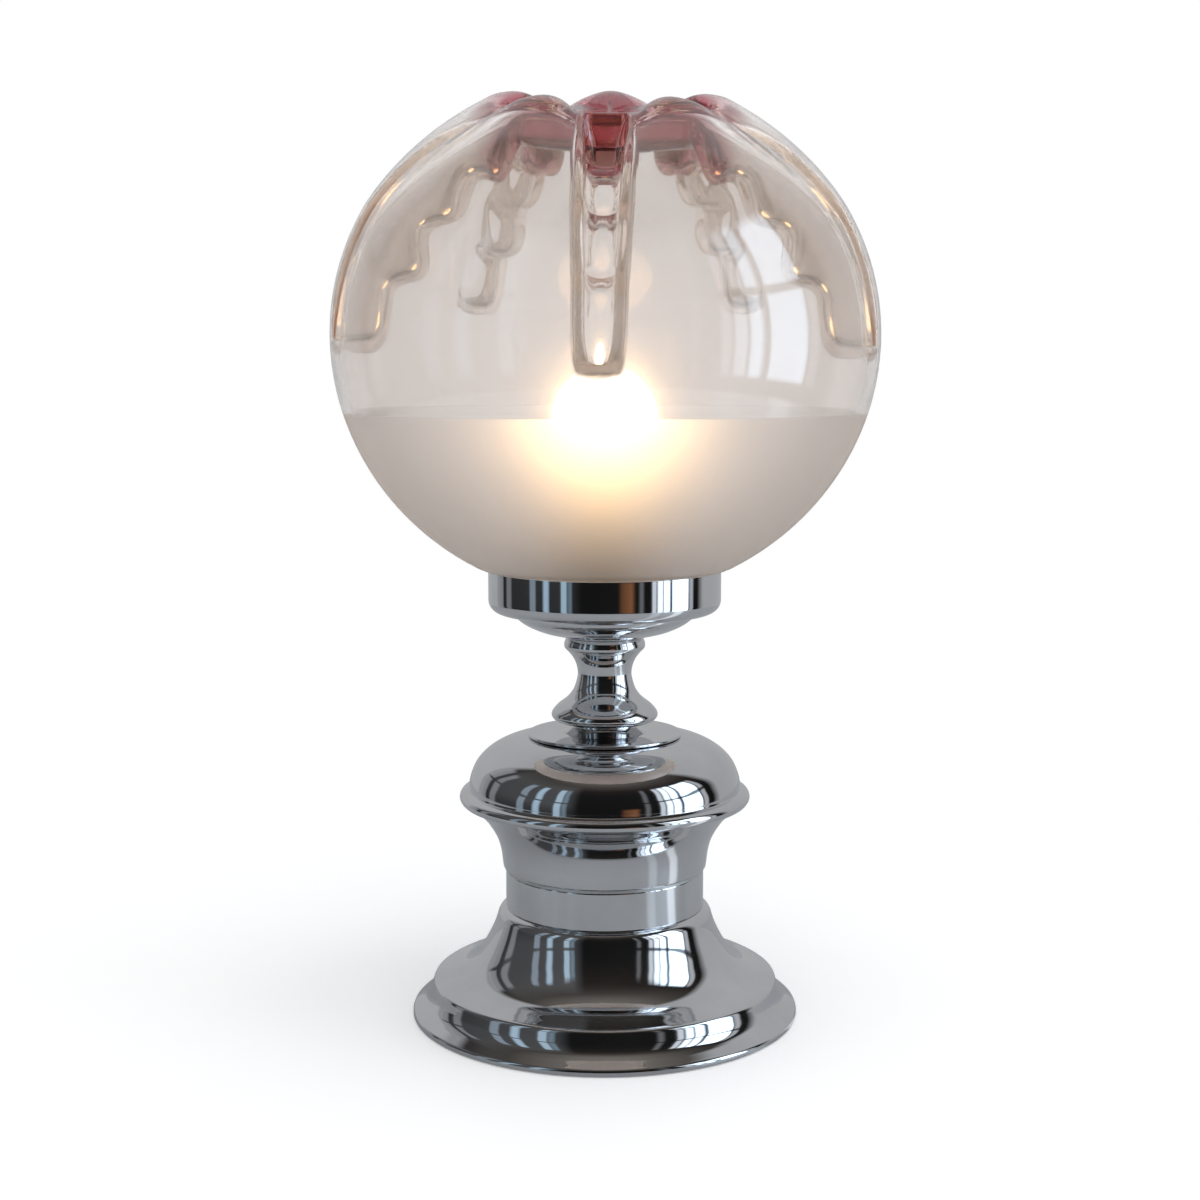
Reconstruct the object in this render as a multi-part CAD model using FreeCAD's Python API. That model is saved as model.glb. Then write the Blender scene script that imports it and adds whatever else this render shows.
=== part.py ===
import FreeCAD, Part
import math
import os

from FreeCAD import Vector

# Glass globe table lamp, in millimetres.
# Z is up, the origin is the centre of the underside, and the front faces -Y.
# Turned pieces are given by half profiles of (radius, height) points.

os.makedirs("parts", exist_ok=True)

# Sheet metal and the rod that clamps the stack
foot_wall = 1.4
column_wall = 1.2
dome_wall = 1.2
fitter_wall = 1.4
rod_radius = 4.95
rod_bore = 3.5
rod_hole = 5.15
nut_bore = 5.0
nut_across_flats = 17.0
nut_height = 4.0
washer_radius = 10.5
washer_height = 1.2

# Foot
foot_radius = 102.0
foot_edge = 0.5
foot_edge_height = 1.9
rim_bevel_width = 6.4
rim_bevel_top = 8.2
shoulder_radius = 90.9
shoulder_height = 19.3
bell_top_radius = 56.9
foot_top = 57.3

# Underside
felt_thickness = 2.1
felt_radius = 98.3
board_thickness = 1.5
board_radius = 98.6
ballast_radius = 86.0
ballast_clearance = 0.3
ballast_web = 18.0
ballast_well = 15.0
ballast_height = 36.4

# Cord bushing in the back of the foot
bushing_height = 13.2
bushing_bore = 3.2
bushing_neck = 4.0
bushing_head = 4.9
bushing_clearance = 0.15
bushing_projection = 3.4
cord_groove = 11.0

# Column
band_radius = 52.3
band_height = 19.7
column_disc_thickness = 1.5
spigot_clearance = 0.1
spigot_depth = 2.0
collar_height = 34.5
collar_foot_radius = 53.6
collar_flange = 46.0
collar_top_radius = 71.4
dome_flange = 64.0

# Dome
bead_radius = 76.4
dome_radius = 71.5
dome_height = 35.4
dome_crown = 34.0
disc_radius = 40.4
disc_thickness = 1.8

# Stem
spool_height = 6.4
spool_foot = 21.8
spool_waist = 17.2
baluster_height = 44.0
baluster_bulb = 27.7
baluster_waist = 14.1
baluster_bead = 21.2

# Fitter
bowl_height = 13.4
bowl_radius = 46.6
gallery_radius = 60.6
gallery_corner = 6.5
gallery_height = 22.2
neck_play = 3.7
gasket_height = 2.9
gasket_gap = 0.3

# Globe
globe_shift = 0.4
globe_radius = 140.0
globe_rise = 131.8
globe_drop = 134.3
glass_wall = 4.2
neck_wall = 4.2
neck_round = 2.0
shoulder_width = 8.8
shoulder_gap = 0.5

# Crown of the globe, in its own leaning frame
crown_lean = 8.0
crown_side_lean = 1.5
fold_count = 5
fold_wall = 4.4
fold_hub_half_width = 10.2
fold_end_half_width = 6.2
channel_round = 3.4
fin_round = 7.0

# Shares of the globe's radius and rise
lobe_edge_share = 0.4714
cavity_edge_share = 0.5429
hub_share = 0.3464
fold_end_share = 0.8714
dish_share = 0.846
hub_underside_share = 0.7155
channel_floor_share = 0.8574
step_jut_share = 0.025
step_fall_share = 0.0643

# Lampholder
holder_radius = 20.0
holder_wall = 1.6
holder_height = 47.0
holder_collar = 8.6
holder_collar_height = 5.0
cap_height = 15.0
cap_rim = 17.0
insert_radius = 17.9
insert_floor = 4.6
insert_height = 27.0
thread_radius = 13.2
thread_wall = 0.4
thread_height = 22.0
contact_thickness = 0.6
contact_boss = 0.25
terminal_spacing = 11.0
terminal_head = 2.9
lock_screw_radius = 1.5

# Bulb
bulb_gap = 0.1
bulb_radius = 27.5
bulb_length = 100.0
bulb_glass = 0.8
bulb_cap_wall = 0.35
bulb_cap_height = 23.2
bulb_cap_radius = 13.1
bulb_cap_start = 4.4
bulb_tip_radius = 4.8
bulb_tip_height = 1.6
bulb_neck = 12.5
bulb_neck_start = 20.0
bulb_neck_end = 29.0
stem_radius = 2.3
stem_top = 50.0
filament_height = 73.0
filament_radius = 9.0
filament_turn = 270.0
filament_wire = 0.4
support_wire = 0.35


def at(point):
    return Vector(point[0], 0, point[1])


def run(points):
    """An edge through (radius, height) points: straight for two, a smooth curve for more."""
    if len(points) == 2:
        return Part.LineSegment(at(points[0]), at(points[1])).toShape()
    spline = Part.BSplineCurve()
    spline.interpolate([at(point) for point in points])
    return spline.toShape()


def turned(edges):
    """The solid that a closed half profile sweeps about the Z axis."""
    face = Part.Face(Part.Wire(edges))
    solid = face.revolve(Vector(0, 0, 0), Vector(0, 0, 1), 360)
    if solid.Volume < 0:
        solid.reverse()
    return solid


def polygon(points):
    closed = list(points) + [points[0]]
    return [run(pair) for pair in zip(closed, closed[1:])]


def ring(inner, outer, bottom, top):
    """A plain turned ring, or a disc where inner is 0."""
    body = Part.makeCylinder(outer, top - bottom, Vector(0, 0, bottom))
    if inner > 0:
        body = body.cut(Part.makeCylinder(inner, top - bottom + 2, Vector(0, 0, bottom - 1)))
    return body


def parallel(points, gap):
    """The chain of points moved by gap to the left of its run, with mitred corners."""
    normals = []
    for start, end in zip(points, points[1:]):
        length = math.dist(start, end)
        normals.append(((start[1] - end[1]) / length, (end[0] - start[0]) / length))
    moved = []
    for index, point in enumerate(points):
        before = normals[max(index - 1, 0)]
        after = normals[min(index, len(normals) - 1)]
        reach = gap / (1 + before[0] * after[0] + before[1] * after[1])
        moved.append((point[0] + reach * (before[0] + after[0]), point[1] + reach * (before[1] + after[1])))
    return moved


def sheet(runs, wall):
    """A spun shell: the outside is a chain of runs, and the wall lies to its left."""
    chain = [runs[0][0]] + [point for points in runs for point in points[1:]]
    inside = parallel(chain, wall)
    edges = [run(points) for points in runs]
    first = 0
    for points in runs:
        last = first + len(points) - 1
        edges.append(run(inside[first:last + 1]))
        first = last
    edges.append(run([chain[0], inside[0]]))
    edges.append(run([chain[-1], inside[-1]]))
    return turned(Part.__sortEdges__(edges))


def rounded(corners):
    """Edges along (radius, height, rounding) corners, with an arc at each corner that has one."""
    edges = []
    previous = corners[0][:2]
    for before, corner, after in zip(corners, corners[1:], corners[2:]):
        point, rounding = corner[:2], corner[2]
        back = Vector(before[0] - point[0], 0, before[1] - point[1]).normalize()
        ahead = Vector(after[0] - point[0], 0, after[1] - point[1]).normalize()
        half = back.getAngle(ahead) / 2
        reach = rounding / math.tan(half)
        middle = at(point) + (back + ahead).normalize() * (rounding / math.sin(half) - rounding)
        start = at(point) + back * reach
        end = at(point) + ahead * reach
        edges.append(run([previous, (start.x, start.z)]))
        edges.append(Part.Arc(start, middle, end).toShape())
        previous = (end.x, end.z)
    edges.append(run([previous, corners[-1][:2]]))
    return edges


def between(start, end, shares):
    """Points from start to end, each given by its share of the way in radius and in height."""
    width, height = end[0] - start[0], end[1] - start[1]
    inner = [(start[0] + across * width, start[1] + up * height) for across, up in shares]
    return [start] + inner + [end]


def hexagon(across_flats, height, bottom):
    corner = across_flats / math.sqrt(3)
    turns = [math.radians(60 * side) for side in range(7)]
    points = [Vector(corner * math.cos(turn), corner * math.sin(turn), bottom) for turn in turns]
    prism = Part.Face(Part.makePolygon(points)).extrude(Vector(0, 0, height))
    bevel = corner - across_flats / 2
    blank = turned(polygon([(0, bottom), (across_flats / 2, bottom), (corner, bottom + bevel / 2),
                            (corner, bottom + height - bevel / 2), (across_flats / 2, bottom + height),
                            (0, bottom + height)]))
    return prism.common(blank)


def nut(bottom):
    bore = Part.makeCylinder(nut_bore, nut_height + 2, Vector(0, 0, bottom - 1))
    return hexagon(nut_across_flats, nut_height, bottom).cut(bore)


def save(name, shape):
    shape.exportStep(os.path.join("parts", name + ".step"))


# The foot: a spun bell with a bevelled rim, a cove under its shoulder and a rolled top edge

rim_top = foot_edge + foot_edge_height
bevel_end = (foot_radius - rim_bevel_width, rim_bevel_top)
cove_end = (shoulder_radius, shoulder_height - 2.7)
rim_runs = [
    [(foot_radius, foot_edge), (foot_radius, rim_top)],
    [(foot_radius, rim_top), (foot_radius - 0.4, rim_top + 0.9), (foot_radius - 1.4, rim_top + 1.7)],
    [(foot_radius - 1.4, rim_top + 1.7), bevel_end],
    between(bevel_end, cove_end, [(0.553, 0.25), (0.894, 0.595)]),
    [(shoulder_radius, shoulder_height - 2.7), (shoulder_radius - 0.3, shoulder_height - 1.1),
     (shoulder_radius - 1.7, shoulder_height)],
]
bell = between((shoulder_radius - 1.7, shoulder_height), (bell_top_radius, foot_top - 5.5),
               [(0.142, 0.04), (0.409, 0.129), (0.622, 0.299), (0.777, 0.514), (0.885, 0.711), (0.96, 0.877)])
lip = [(bell_top_radius, foot_top - 5.5), (bell_top_radius - 0.6, foot_top - 3.5),
       (bell_top_radius - 2.0, foot_top - 1.4), (band_radius + 0.5, foot_top)]
foot_runs = rim_runs + [bell, lip, [(band_radius + 0.5, foot_top), (rod_hole, foot_top)]]
foot_shell = sheet(foot_runs, foot_wall)

foot_outside = [run(points) for points in foot_runs]
foot_outside.append(run([(rod_hole, foot_top), (0, foot_top)]))
foot_outside.append(run([(0, foot_top), (0, foot_edge)]))
foot_outside.append(run([(0, foot_edge), (foot_radius, foot_edge)]))
foot_solid = turned(foot_outside)


def along_back(radius, start, end):
    """A cylinder along +Y at the height of the cord bushing."""
    return Part.makeCylinder(radius, end - start, Vector(0, start, bushing_height), Vector(0, 1, 0))


save("base_foot", foot_shell.cut(along_back(bushing_neck + bushing_clearance, ballast_radius, foot_radius)))

# The cord bushing: a head outside the foot's wall, a neck through it and a collar inside it

bushing_inner = shoulder_radius - foot_wall - 2.4
bushing_outer = shoulder_radius + bushing_projection
head = along_back(bushing_head, shoulder_radius - 4, bushing_outer)
outside_wall = foot_solid.copy()
outside_wall.translate(Vector(0, bushing_clearance, 0))
head = head.cut(outside_wall)
neck = along_back(bushing_neck, bushing_inner, bushing_outer)
collar = along_back(bushing_neck + 0.3, bushing_inner, shoulder_radius - foot_wall - 0.6)
bushing = head.fuse(neck).fuse(collar).cut(along_back(bushing_bore, bushing_inner - 1, bushing_outer + 1))
save("cord_bushing", bushing.removeSplitter())

# The underside: felt, board, cast ballast and the nut that clamps the stack

board_bottom = felt_thickness
board_top = board_bottom + board_thickness
save("felt_pad", ring(0, felt_radius, 0, felt_thickness))
save("bottom_board", ring(0, board_radius, board_bottom, board_top))

under_bell = parallel(bell, foot_wall + ballast_clearance)
ballast_top = board_top + ballast_height
ballast_slope = [point for point in under_bell if point[1] < ballast_top and point[0] < ballast_radius - 1]
ballast = turned([
    run([(rod_hole, ballast_web), (ballast_well, ballast_web)]),
    run([(ballast_well, ballast_web), (ballast_well, board_top)]),
    run([(ballast_well, board_top), (ballast_radius, board_top)]),
    run([(ballast_radius, board_top), (ballast_radius, ballast_slope[0][1] - 1.5)]),
    run([(ballast_radius, ballast_slope[0][1] - 1.5), ballast_slope[0]]),
    run(ballast_slope),
    run([ballast_slope[-1], (rod_hole, ballast_slope[-1][1])]),
    run([(rod_hole, ballast_slope[-1][1]), (rod_hole, ballast_web)]),
])
groove = Part.makeBox(cord_groove, foot_radius, bushing_height + cord_groove / 2 - board_top,
                      Vector(-cord_groove / 2, 0, board_top))
groove = groove.cut(Part.makeCylinder(ballast_well - 1, foot_top, Vector(0, 0, 0)))
save("ballast_weight", ballast.cut(groove))

rod_bottom = ballast_web - washer_height - nut_height - 1.0
save("bottom_washer", ring(rod_hole, washer_radius, ballast_web - washer_height, ballast_web))
save("bottom_nut", nut(ballast_web - washer_height - nut_height))

# The column: a straight band, a centring disc on its top edge and a flared collar standing on the disc

band_top = foot_top + band_height
column_disc_top = band_top + column_disc_thickness
spigot_radius = band_radius - column_wall - spigot_clearance
save("column_band", ring(band_radius - column_wall, band_radius, foot_top, band_top))
column_disc = ring(rod_hole, band_radius, band_top, column_disc_top)
spigot = ring(rod_hole, spigot_radius, band_top - spigot_depth, band_top)
save("column_disc", column_disc.fuse(spigot).removeSplitter())

collar_top = column_disc_top + collar_height
flare = between((collar_foot_radius, column_disc_top + 0.8), (collar_top_radius, collar_top),
                [(0.028, 0.11), (0.073, 0.276), (0.18, 0.463), (0.376, 0.653), (0.618, 0.819)])
save("column_collar", sheet([
    [(collar_flange, column_disc_top), (collar_foot_radius - 0.8, column_disc_top)],
    [(collar_foot_radius - 0.8, column_disc_top), (collar_foot_radius, column_disc_top + 0.8)],
    flare,
    [(collar_top_radius, collar_top), (dome_flange, collar_top)]], column_wall))

# The dome: a domed cap with a rolled bead, its lip set in the collar, and the thin disc on its top

dome_top = collar_top + dome_height
bead = [(bead_radius - 4.0, collar_top), (bead_radius - 1.2, collar_top + 1.0),
        (bead_radius, collar_top + 3.4), (bead_radius - 1.1, collar_top + 6.0),
        (dome_radius, collar_top + 7.6)]
dome = between((dome_radius, collar_top + 7.6), (dome_crown, dome_top),
               [(0.005, 0.115), (0.032, 0.273), (0.115, 0.511), (0.275, 0.727), (0.493, 0.885), (0.76, 0.975)])
lip_radius = dome_flange - spigot_clearance
save("dome_cap", sheet([
    [(lip_radius, collar_top - spigot_depth), (lip_radius, collar_top)],
    [(lip_radius, collar_top), (bead_radius - 4.0, collar_top)],
    bead,
    dome,
    [(dome_crown, dome_top), (rod_hole, dome_top)]], dome_wall))

disc_top = dome_top + disc_thickness
disc_edge = disc_thickness / 2
seating_disc = turned([
    run([(rod_hole, dome_top), (disc_radius - disc_edge, dome_top)]),
    Part.Arc(at((disc_radius - disc_edge, dome_top)), at((disc_radius, dome_top + disc_edge)),
             at((disc_radius - disc_edge, disc_top))).toShape(),
    run([(disc_radius - disc_edge, disc_top), (rod_hole, disc_top)]),
    run([(rod_hole, disc_top), (rod_hole, dome_top)]),
])
save("seating_disc", seating_disc)

# The stem: a small coved spool and a turned baluster

spool_top = disc_top + spool_height
save("stem_spool", turned([
    run([(rod_hole, disc_top), (spool_foot, disc_top)]),
    run([(spool_foot, disc_top), (spool_foot - 2.6, disc_top + 1.5), (spool_waist, disc_top + 4.0),
         (spool_waist + 0.3, spool_top)]),
    run([(spool_waist + 0.3, spool_top), (rod_hole, spool_top)]),
    run([(rod_hole, spool_top), (rod_hole, disc_top)]),
]))

baluster_top = spool_top + baluster_height
bead_bottom = baluster_top - 7.3
bead_foot = baluster_bead - 1.9
baluster_neck = baluster_bead - 1.6
waist = (baluster_waist, spool_top + 0.55 * baluster_height)
belly = between((baluster_bulb - 0.1, spool_top + 4.4), waist,
                [(0.222, 0.187), (0.548, 0.359), (0.741, 0.505), (0.882, 0.677)])
throat = between(waist, (bead_foot, bead_bottom), [(0.135, 0.416), (0.5, 0.744)])
save("stem_baluster", turned([
    run([(rod_hole, spool_top), (baluster_bulb - 1.9, spool_top)]),
    run([(baluster_bulb - 1.9, spool_top), (baluster_bulb - 0.1, spool_top + 1.9)] + belly + throat[1:]),
    run([(bead_foot, bead_bottom), (baluster_bead - 0.3, bead_bottom + 1.7),
         (baluster_bead, bead_bottom + 3.6), (baluster_bead - 0.6, bead_bottom + 5.8),
         (baluster_neck, baluster_top)]),
    run([(baluster_neck, baluster_top), (rod_hole, baluster_top)]),
    run([(rod_hole, baluster_top), (rod_hole, spool_top)]),
]))

# The fitter: a shallow bowl under the gallery that the globe's neck stands in

gallery_bottom = baluster_top + bowl_height
gallery_floor = gallery_bottom + fitter_wall
gallery_top = gallery_bottom + gallery_height
bowl_rim = gallery_bottom - 1.8
bowl = between((baluster_neck, baluster_top), (bowl_radius, bowl_rim),
               [(0.163, 0.095), (0.515, 0.302), (0.778, 0.56), (0.948, 0.828)])
save("fitter_bowl", sheet([[(rod_hole, baluster_top), (baluster_neck, baluster_top)], bowl,
                           [(bowl_radius, bowl_rim), (bowl_radius, gallery_bottom)]], fitter_wall))

gallery_inner = gallery_radius - fitter_wall
corner_start = gallery_radius - gallery_corner
corner_top = gallery_bottom + gallery_corner
corner_reach = gallery_corner * (1 - math.sqrt(0.5))
inner_reach = (gallery_corner - fitter_wall) * (1 - math.sqrt(0.5))
save("gallery_ring", turned([
    run([(rod_hole, gallery_bottom), (corner_start, gallery_bottom)]),
    Part.Arc(at((corner_start, gallery_bottom)),
             at((gallery_radius - corner_reach, gallery_bottom + corner_reach)),
             at((gallery_radius, corner_top))).toShape(),
    run([(gallery_radius, corner_top), (gallery_radius, gallery_top)]),
    run([(gallery_radius, gallery_top), (gallery_inner, gallery_top)]),
    run([(gallery_inner, gallery_top), (gallery_inner, corner_top)]),
    Part.Arc(at((gallery_inner, corner_top)), at((gallery_inner - inner_reach, gallery_floor + inner_reach)),
             at((corner_start, gallery_floor))).toShape(),
    run([(corner_start, gallery_floor), (rod_hole, gallery_floor)]),
    run([(rod_hole, gallery_floor), (rod_hole, gallery_bottom)]),
]))

neck_radius = gallery_inner - neck_play
gasket_outer = neck_radius + 0.1
gasket_inner = neck_radius - neck_wall - 1.0
gasket_bottom = gallery_floor + 0.1
gasket_top = gasket_bottom + gasket_height
save("globe_gasket", turned(polygon([
    (gasket_inner, gasket_bottom), (gasket_outer - 2.0, gasket_bottom), (gasket_outer, gasket_bottom + 1.7),
    (gasket_outer, gasket_top), (gasket_inner, gasket_top)])))

save("gallery_washer", ring(rod_hole, washer_radius, gallery_floor, gallery_floor + washer_height))
gallery_nut_bottom = gallery_floor + washer_height
save("gallery_nut", nut(gallery_nut_bottom))

# The globe: blown glass with a neck, and a crown with deep radial folds pressed in from outside


def ellipse_arc(radius, rise, start, end):
    """An arc of the ellipse about the crown's origin, between two radii on its upper or lower side."""
    tall = abs(rise) > radius
    ellipse = Part.Ellipse(Vector(0, 0, 0), max(radius, abs(rise)), min(radius, abs(rise)))
    ellipse.Axis = Vector(0, -1, 0)
    ellipse.XAxis = Vector(0, 0, 1) if tall else Vector(1, 0, 0)
    quarter = math.pi / 2 if tall else 0
    sign = 1 if rise > 0 else -1
    angles = sorted(sign * math.acos(value / radius) - quarter for value in (start, end))
    return Part.ArcOfEllipse(ellipse, angles[0], angles[1]).toShape()


def on_ellipse(radius, rise, value):
    return rise * math.sqrt(1 - (value / radius) ** 2)


def in_crown(shares):
    """Points of the crown from their shares of the globe's radius and rise."""
    return [(across * globe_radius, up * globe_rise) for across, up in shares]


lobe_edge = lobe_edge_share * globe_radius
dish_floor = dish_share * globe_rise
dish = (0.0714 * globe_radius, dish_floor)
crown_roll = [(lobe_edge, on_ellipse(globe_radius, globe_rise, lobe_edge))] + in_crown([
    (0.4321, 0.9044), (0.3964, 0.9165), (0.3571, 0.9196), (0.3107, 0.909), (0.2571, 0.8832), (0.2, 0.8589),
    (0.1429, 0.8483)]) + [dish]
body = turned([
    run([(0, -globe_drop), (0, dish_floor)]),
    run([(0, dish_floor), dish]),
    run(list(reversed(crown_roll))),
    ellipse_arc(globe_radius, globe_rise, lobe_edge, globe_radius),
    ellipse_arc(globe_radius, -globe_drop, 0, globe_radius),
])

cavity_radius = globe_radius - glass_wall
cavity_rise = globe_rise - glass_wall
cavity_drop = globe_drop - glass_wall
cavity_edge = cavity_edge_share * globe_radius
hub_radius = hub_share * globe_radius
hub_underside = hub_underside_share * globe_rise
hub_foot = (0.2893 * globe_radius, hub_underside)
hub_roll = [(cavity_edge, on_ellipse(cavity_radius, cavity_rise, cavity_edge))] + in_crown([
    (0.4857, 0.8392), (0.4286, 0.8604), (0.3821, 0.8574), (0.3571, 0.8316), (hub_share, 0.7853),
    (0.3421, 0.7413), (0.3207, 0.7185)]) + [hub_foot]
cavity = turned([
    run([(0, -cavity_drop), (0, hub_underside)]),
    run([(0, hub_underside), hub_foot]),
    run(list(reversed(hub_roll))),
    ellipse_arc(cavity_radius, cavity_rise, cavity_edge, cavity_radius),
    ellipse_arc(cavity_radius, -cavity_drop, 0, cavity_radius),
])

# Corners of the stepped inner edge of a fold, from the hub out to the globe's wall
fold_corners = in_crown([
    (0.3286, 0.7511), (0.3964, 0.5728), (0.5036, 0.6639), (0.55, 0.4932), (0.6771, 0.475), (0.6657, 0.2929),
    (0.7971, 0.2777), (0.84, 0.0197), (1.0857, 0.0046)])
fold_end_radius = fold_end_share * globe_radius
step_jut_round = step_jut_share * globe_radius
step_fall_round = step_fall_share * globe_radius
blade_top = 1.14 * globe_rise
blade_reach = 0.143 * globe_radius


def stepped(corners, jut, fall):
    """Edges along the corners, rounded by jut where a step juts inwards and by fall where it falls back."""
    marked = [corners[0]]
    for before, corner, after in zip(corners, corners[1:], corners[2:]):
        bend = ((corner[0] - before[0]) * (after[1] - corner[1])
                - (corner[1] - before[1]) * (after[0] - corner[0]))
        marked.append(corner + (jut if bend > 0 else fall,))
    return rounded(marked + [corners[-1]])


def blade(corners, jut, fall, half_width, edge_round):
    """A tapering blade towards -Y with a stepped lower edge, both of its lower sides rounded."""
    first, last = corners[0], corners[-1]
    border = stepped(corners, jut, fall)
    border += [run([last, (last[0], blade_top)]), run([(last[0], blade_top), (first[0], blade_top)]),
               run([(first[0], blade_top), first])]
    slab = Part.Face(Part.Wire(border)).extrude(Vector(0, 2 * blade_reach, 0))
    slab.translate(Vector(0, -blade_reach, 0))
    slab.rotate(Vector(0, 0, 0), Vector(0, 0, 1), -90)
    taper = (fold_end_half_width - fold_hub_half_width) / (fold_end_radius - hub_radius)
    near, far = 0.99 * first[0], 1.01 * last[0]
    near_half = half_width + taper * (near - hub_radius)
    far_half = half_width + taper * (far - hub_radius)
    outline = [Vector(-near_half, -near, -blade_top), Vector(near_half, -near, -blade_top),
               Vector(far_half, -far, -blade_top), Vector(-far_half, -far, -blade_top)]
    plan = Part.Face(Part.makePolygon(outline + outline[:1])).extrude(Vector(0, 0, 3 * blade_top))
    solid = slab.common(plan).Solids[0]
    lower = []
    for edge in solid.Edges:
        start, end = edge.Vertexes[0].Point, edge.Vertexes[-1].Point
        if edge.BoundBox.ZMax < blade_top - 1 and abs(start.x - end.x) < blade_reach / 4:
            lower.append(edge)
    return solid.makeFillet(edge_round, lower)


fin = blade(fold_corners, step_jut_round + fold_wall, step_fall_round - fold_wall,
            fold_hub_half_width + fold_wall, fin_round)
channel_floor = channel_floor_share * globe_rise
channel_corners = parallel(fold_corners, fold_wall)
rise = (channel_floor - channel_corners[1][1]) / (channel_corners[0][1] - channel_corners[1][1])
hub_corner = (channel_corners[1][0] + rise * (channel_corners[0][0] - channel_corners[1][0]), channel_floor)
channel_start = (0.1429 * globe_radius, 0.993 * channel_floor)
channel = blade([channel_start, hub_corner] + channel_corners[1:], step_jut_round, step_fall_round,
                fold_hub_half_width, channel_round)


def around(shape):
    """One copy of a shape for each fold, spaced evenly about the crown's axis."""
    copies = []
    for index in range(fold_count):
        copy = shape.copy()
        copy.rotate(Vector(0, 0, 0), Vector(0, 0, 1), 360 / fold_count * index)
        copies.append(copy)
    return copies


shoulder_bottom = gallery_top + shoulder_gap
globe_height = shoulder_bottom + on_ellipse(globe_radius, globe_drop, neck_radius + shoulder_width)


def lean(shape):
    """Leans the crown's frame forward and a little sideways, and sets it at the globe's centre."""
    placed = shape.copy()
    placed.rotate(Vector(0, 0, 0), Vector(1, 0, 0), crown_lean)
    placed.rotate(Vector(0, 0, 0), Vector(0, 1, 0), crown_side_lean)
    placed.translate(Vector(globe_shift, 0, globe_height))
    return placed


def with_neck(bowl, radius, shoulder, bottom):
    """Flattens a leaning bowl at its shoulder, rounds the rim there and adds an upright neck."""
    room = 2 * globe_radius
    cutter = Part.makeBox(2 * room, 2 * room, room, Vector(-room, -room, shoulder - room))
    flat = bowl.cut(cutter).Solids[0]
    rim = [edge for edge in flat.Edges if edge.BoundBox.ZMax < shoulder + 0.5]
    flat = flat.makeFillet(neck_round, rim)
    whole = flat.fuse(Part.makeCylinder(radius, shoulder - bottom + 1, Vector(0, 0, bottom))).removeSplitter()
    whole = whole.Solids[0]
    seam = [edge for edge in whole.Edges
            if abs(edge.BoundBox.ZMin - shoulder) < 0.01 and edge.BoundBox.XMax < radius + 0.01
            and edge.BoundBox.ZLength < 0.01]
    return whole.makeFillet(neck_round, seam)


neck_bottom = gasket_top + gasket_gap
outside = with_neck(lean(body.cut(around(channel))), neck_radius, shoulder_bottom, neck_bottom)
hollow = with_neck(lean(cavity.cut(around(fin))), neck_radius - neck_wall, shoulder_bottom + glass_wall,
                   neck_bottom - 1)
save("globe", outside.cut(hollow).Solids[0])

# The lampholder: a cap screwed on the rod, a shell, and a ceramic insert with its thread and contacts

holder_bottom = gallery_nut_bottom + nut_height + 0.4
rod_top = holder_bottom + holder_collar_height
rod = ring(rod_bore, rod_radius, rod_bottom, rod_top)
save("through_rod", rod)

cap_top = holder_bottom + cap_height
holder_cap = turned([
    run([(nut_bore, holder_bottom), (holder_collar, holder_bottom)]),
    run([(holder_collar, holder_bottom), (holder_collar, rod_top)]),
    run([(holder_collar, rod_top), (13.5, rod_top + 1.6), (18.0, rod_top + 4.6), (holder_radius, cap_top - 3.0)]),
    run([(holder_radius, cap_top - 3.0), (holder_radius, cap_top)]),
    run([(holder_radius, cap_top), (cap_rim, cap_top)]),
    run([(cap_rim, cap_top), (cap_rim, cap_top - 3.0)]),
    run([(cap_rim, cap_top - 3.0), (15.2, rod_top + 5.0), (11.0, rod_top + 2.8), (nut_bore, rod_top + 1.8)]),
    run([(nut_bore, rod_top + 1.8), (nut_bore, holder_bottom)]),
])
lock_screw_height = holder_bottom + holder_collar_height / 2


def lock_screw(radius, start, end):
    return Part.makeCylinder(radius, end - start, Vector(start, 0, lock_screw_height), Vector(1, 0, 0))


save("holder_cap", holder_cap.cut(lock_screw(lock_screw_radius + 0.05, 0, holder_collar + 1)))
screw = lock_screw(lock_screw_radius, rod_radius + 0.05, holder_collar + 0.6)
slot = Part.makeBox(0.8, 2 * lock_screw_radius, 0.5,
                    Vector(holder_collar, -lock_screw_radius, lock_screw_height - 0.25))
save("holder_lock_screw", screw.cut(slot))

holder_top = holder_bottom + holder_height
save("holder_shell", sheet([
    [(holder_radius, cap_top), (holder_radius, holder_top - 1.6)],
    [(holder_radius, holder_top - 1.6), (holder_radius - 0.5, holder_top - 0.5), (holder_radius - 1.6, holder_top)],
    [(holder_radius - 1.6, holder_top), (holder_radius - 4.4, holder_top)]], holder_wall))

floor = cap_top + insert_floor
insert_bore = thread_radius + thread_wall + 0.05
save("holder_insert", ring(0, insert_radius, cap_top, floor).fuse(
    ring(insert_bore, insert_radius, floor, cap_top + insert_height)).removeSplitter())
save("thread_shell", ring(thread_radius, thread_radius + thread_wall, floor, floor + thread_height))

contact_plate = Part.makeBox(8.0, 18.0, contact_thickness, Vector(-4.0, -9.0, floor))
contact_top = floor + contact_thickness + contact_boss
contact = contact_plate.fuse(ring(0, 3.2, floor, contact_top)).removeSplitter()
save("centre_contact", contact)

terminals = []
for side in (-1, 1):
    head = Part.makeCylinder(terminal_head, 2.0, Vector(side * terminal_spacing, 0, cap_top - 2.0))
    slot = Part.makeBox(2 * terminal_head, 0.7, 0.8,
                        Vector(side * terminal_spacing - terminal_head, -0.35, cap_top - 2.0))
    terminals.append(head.cut(slot))
save("terminal_screws", Part.Compound(terminals))

# The bulb, screwed down on the centre contact

tip = contact_top + bulb_gap


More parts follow.
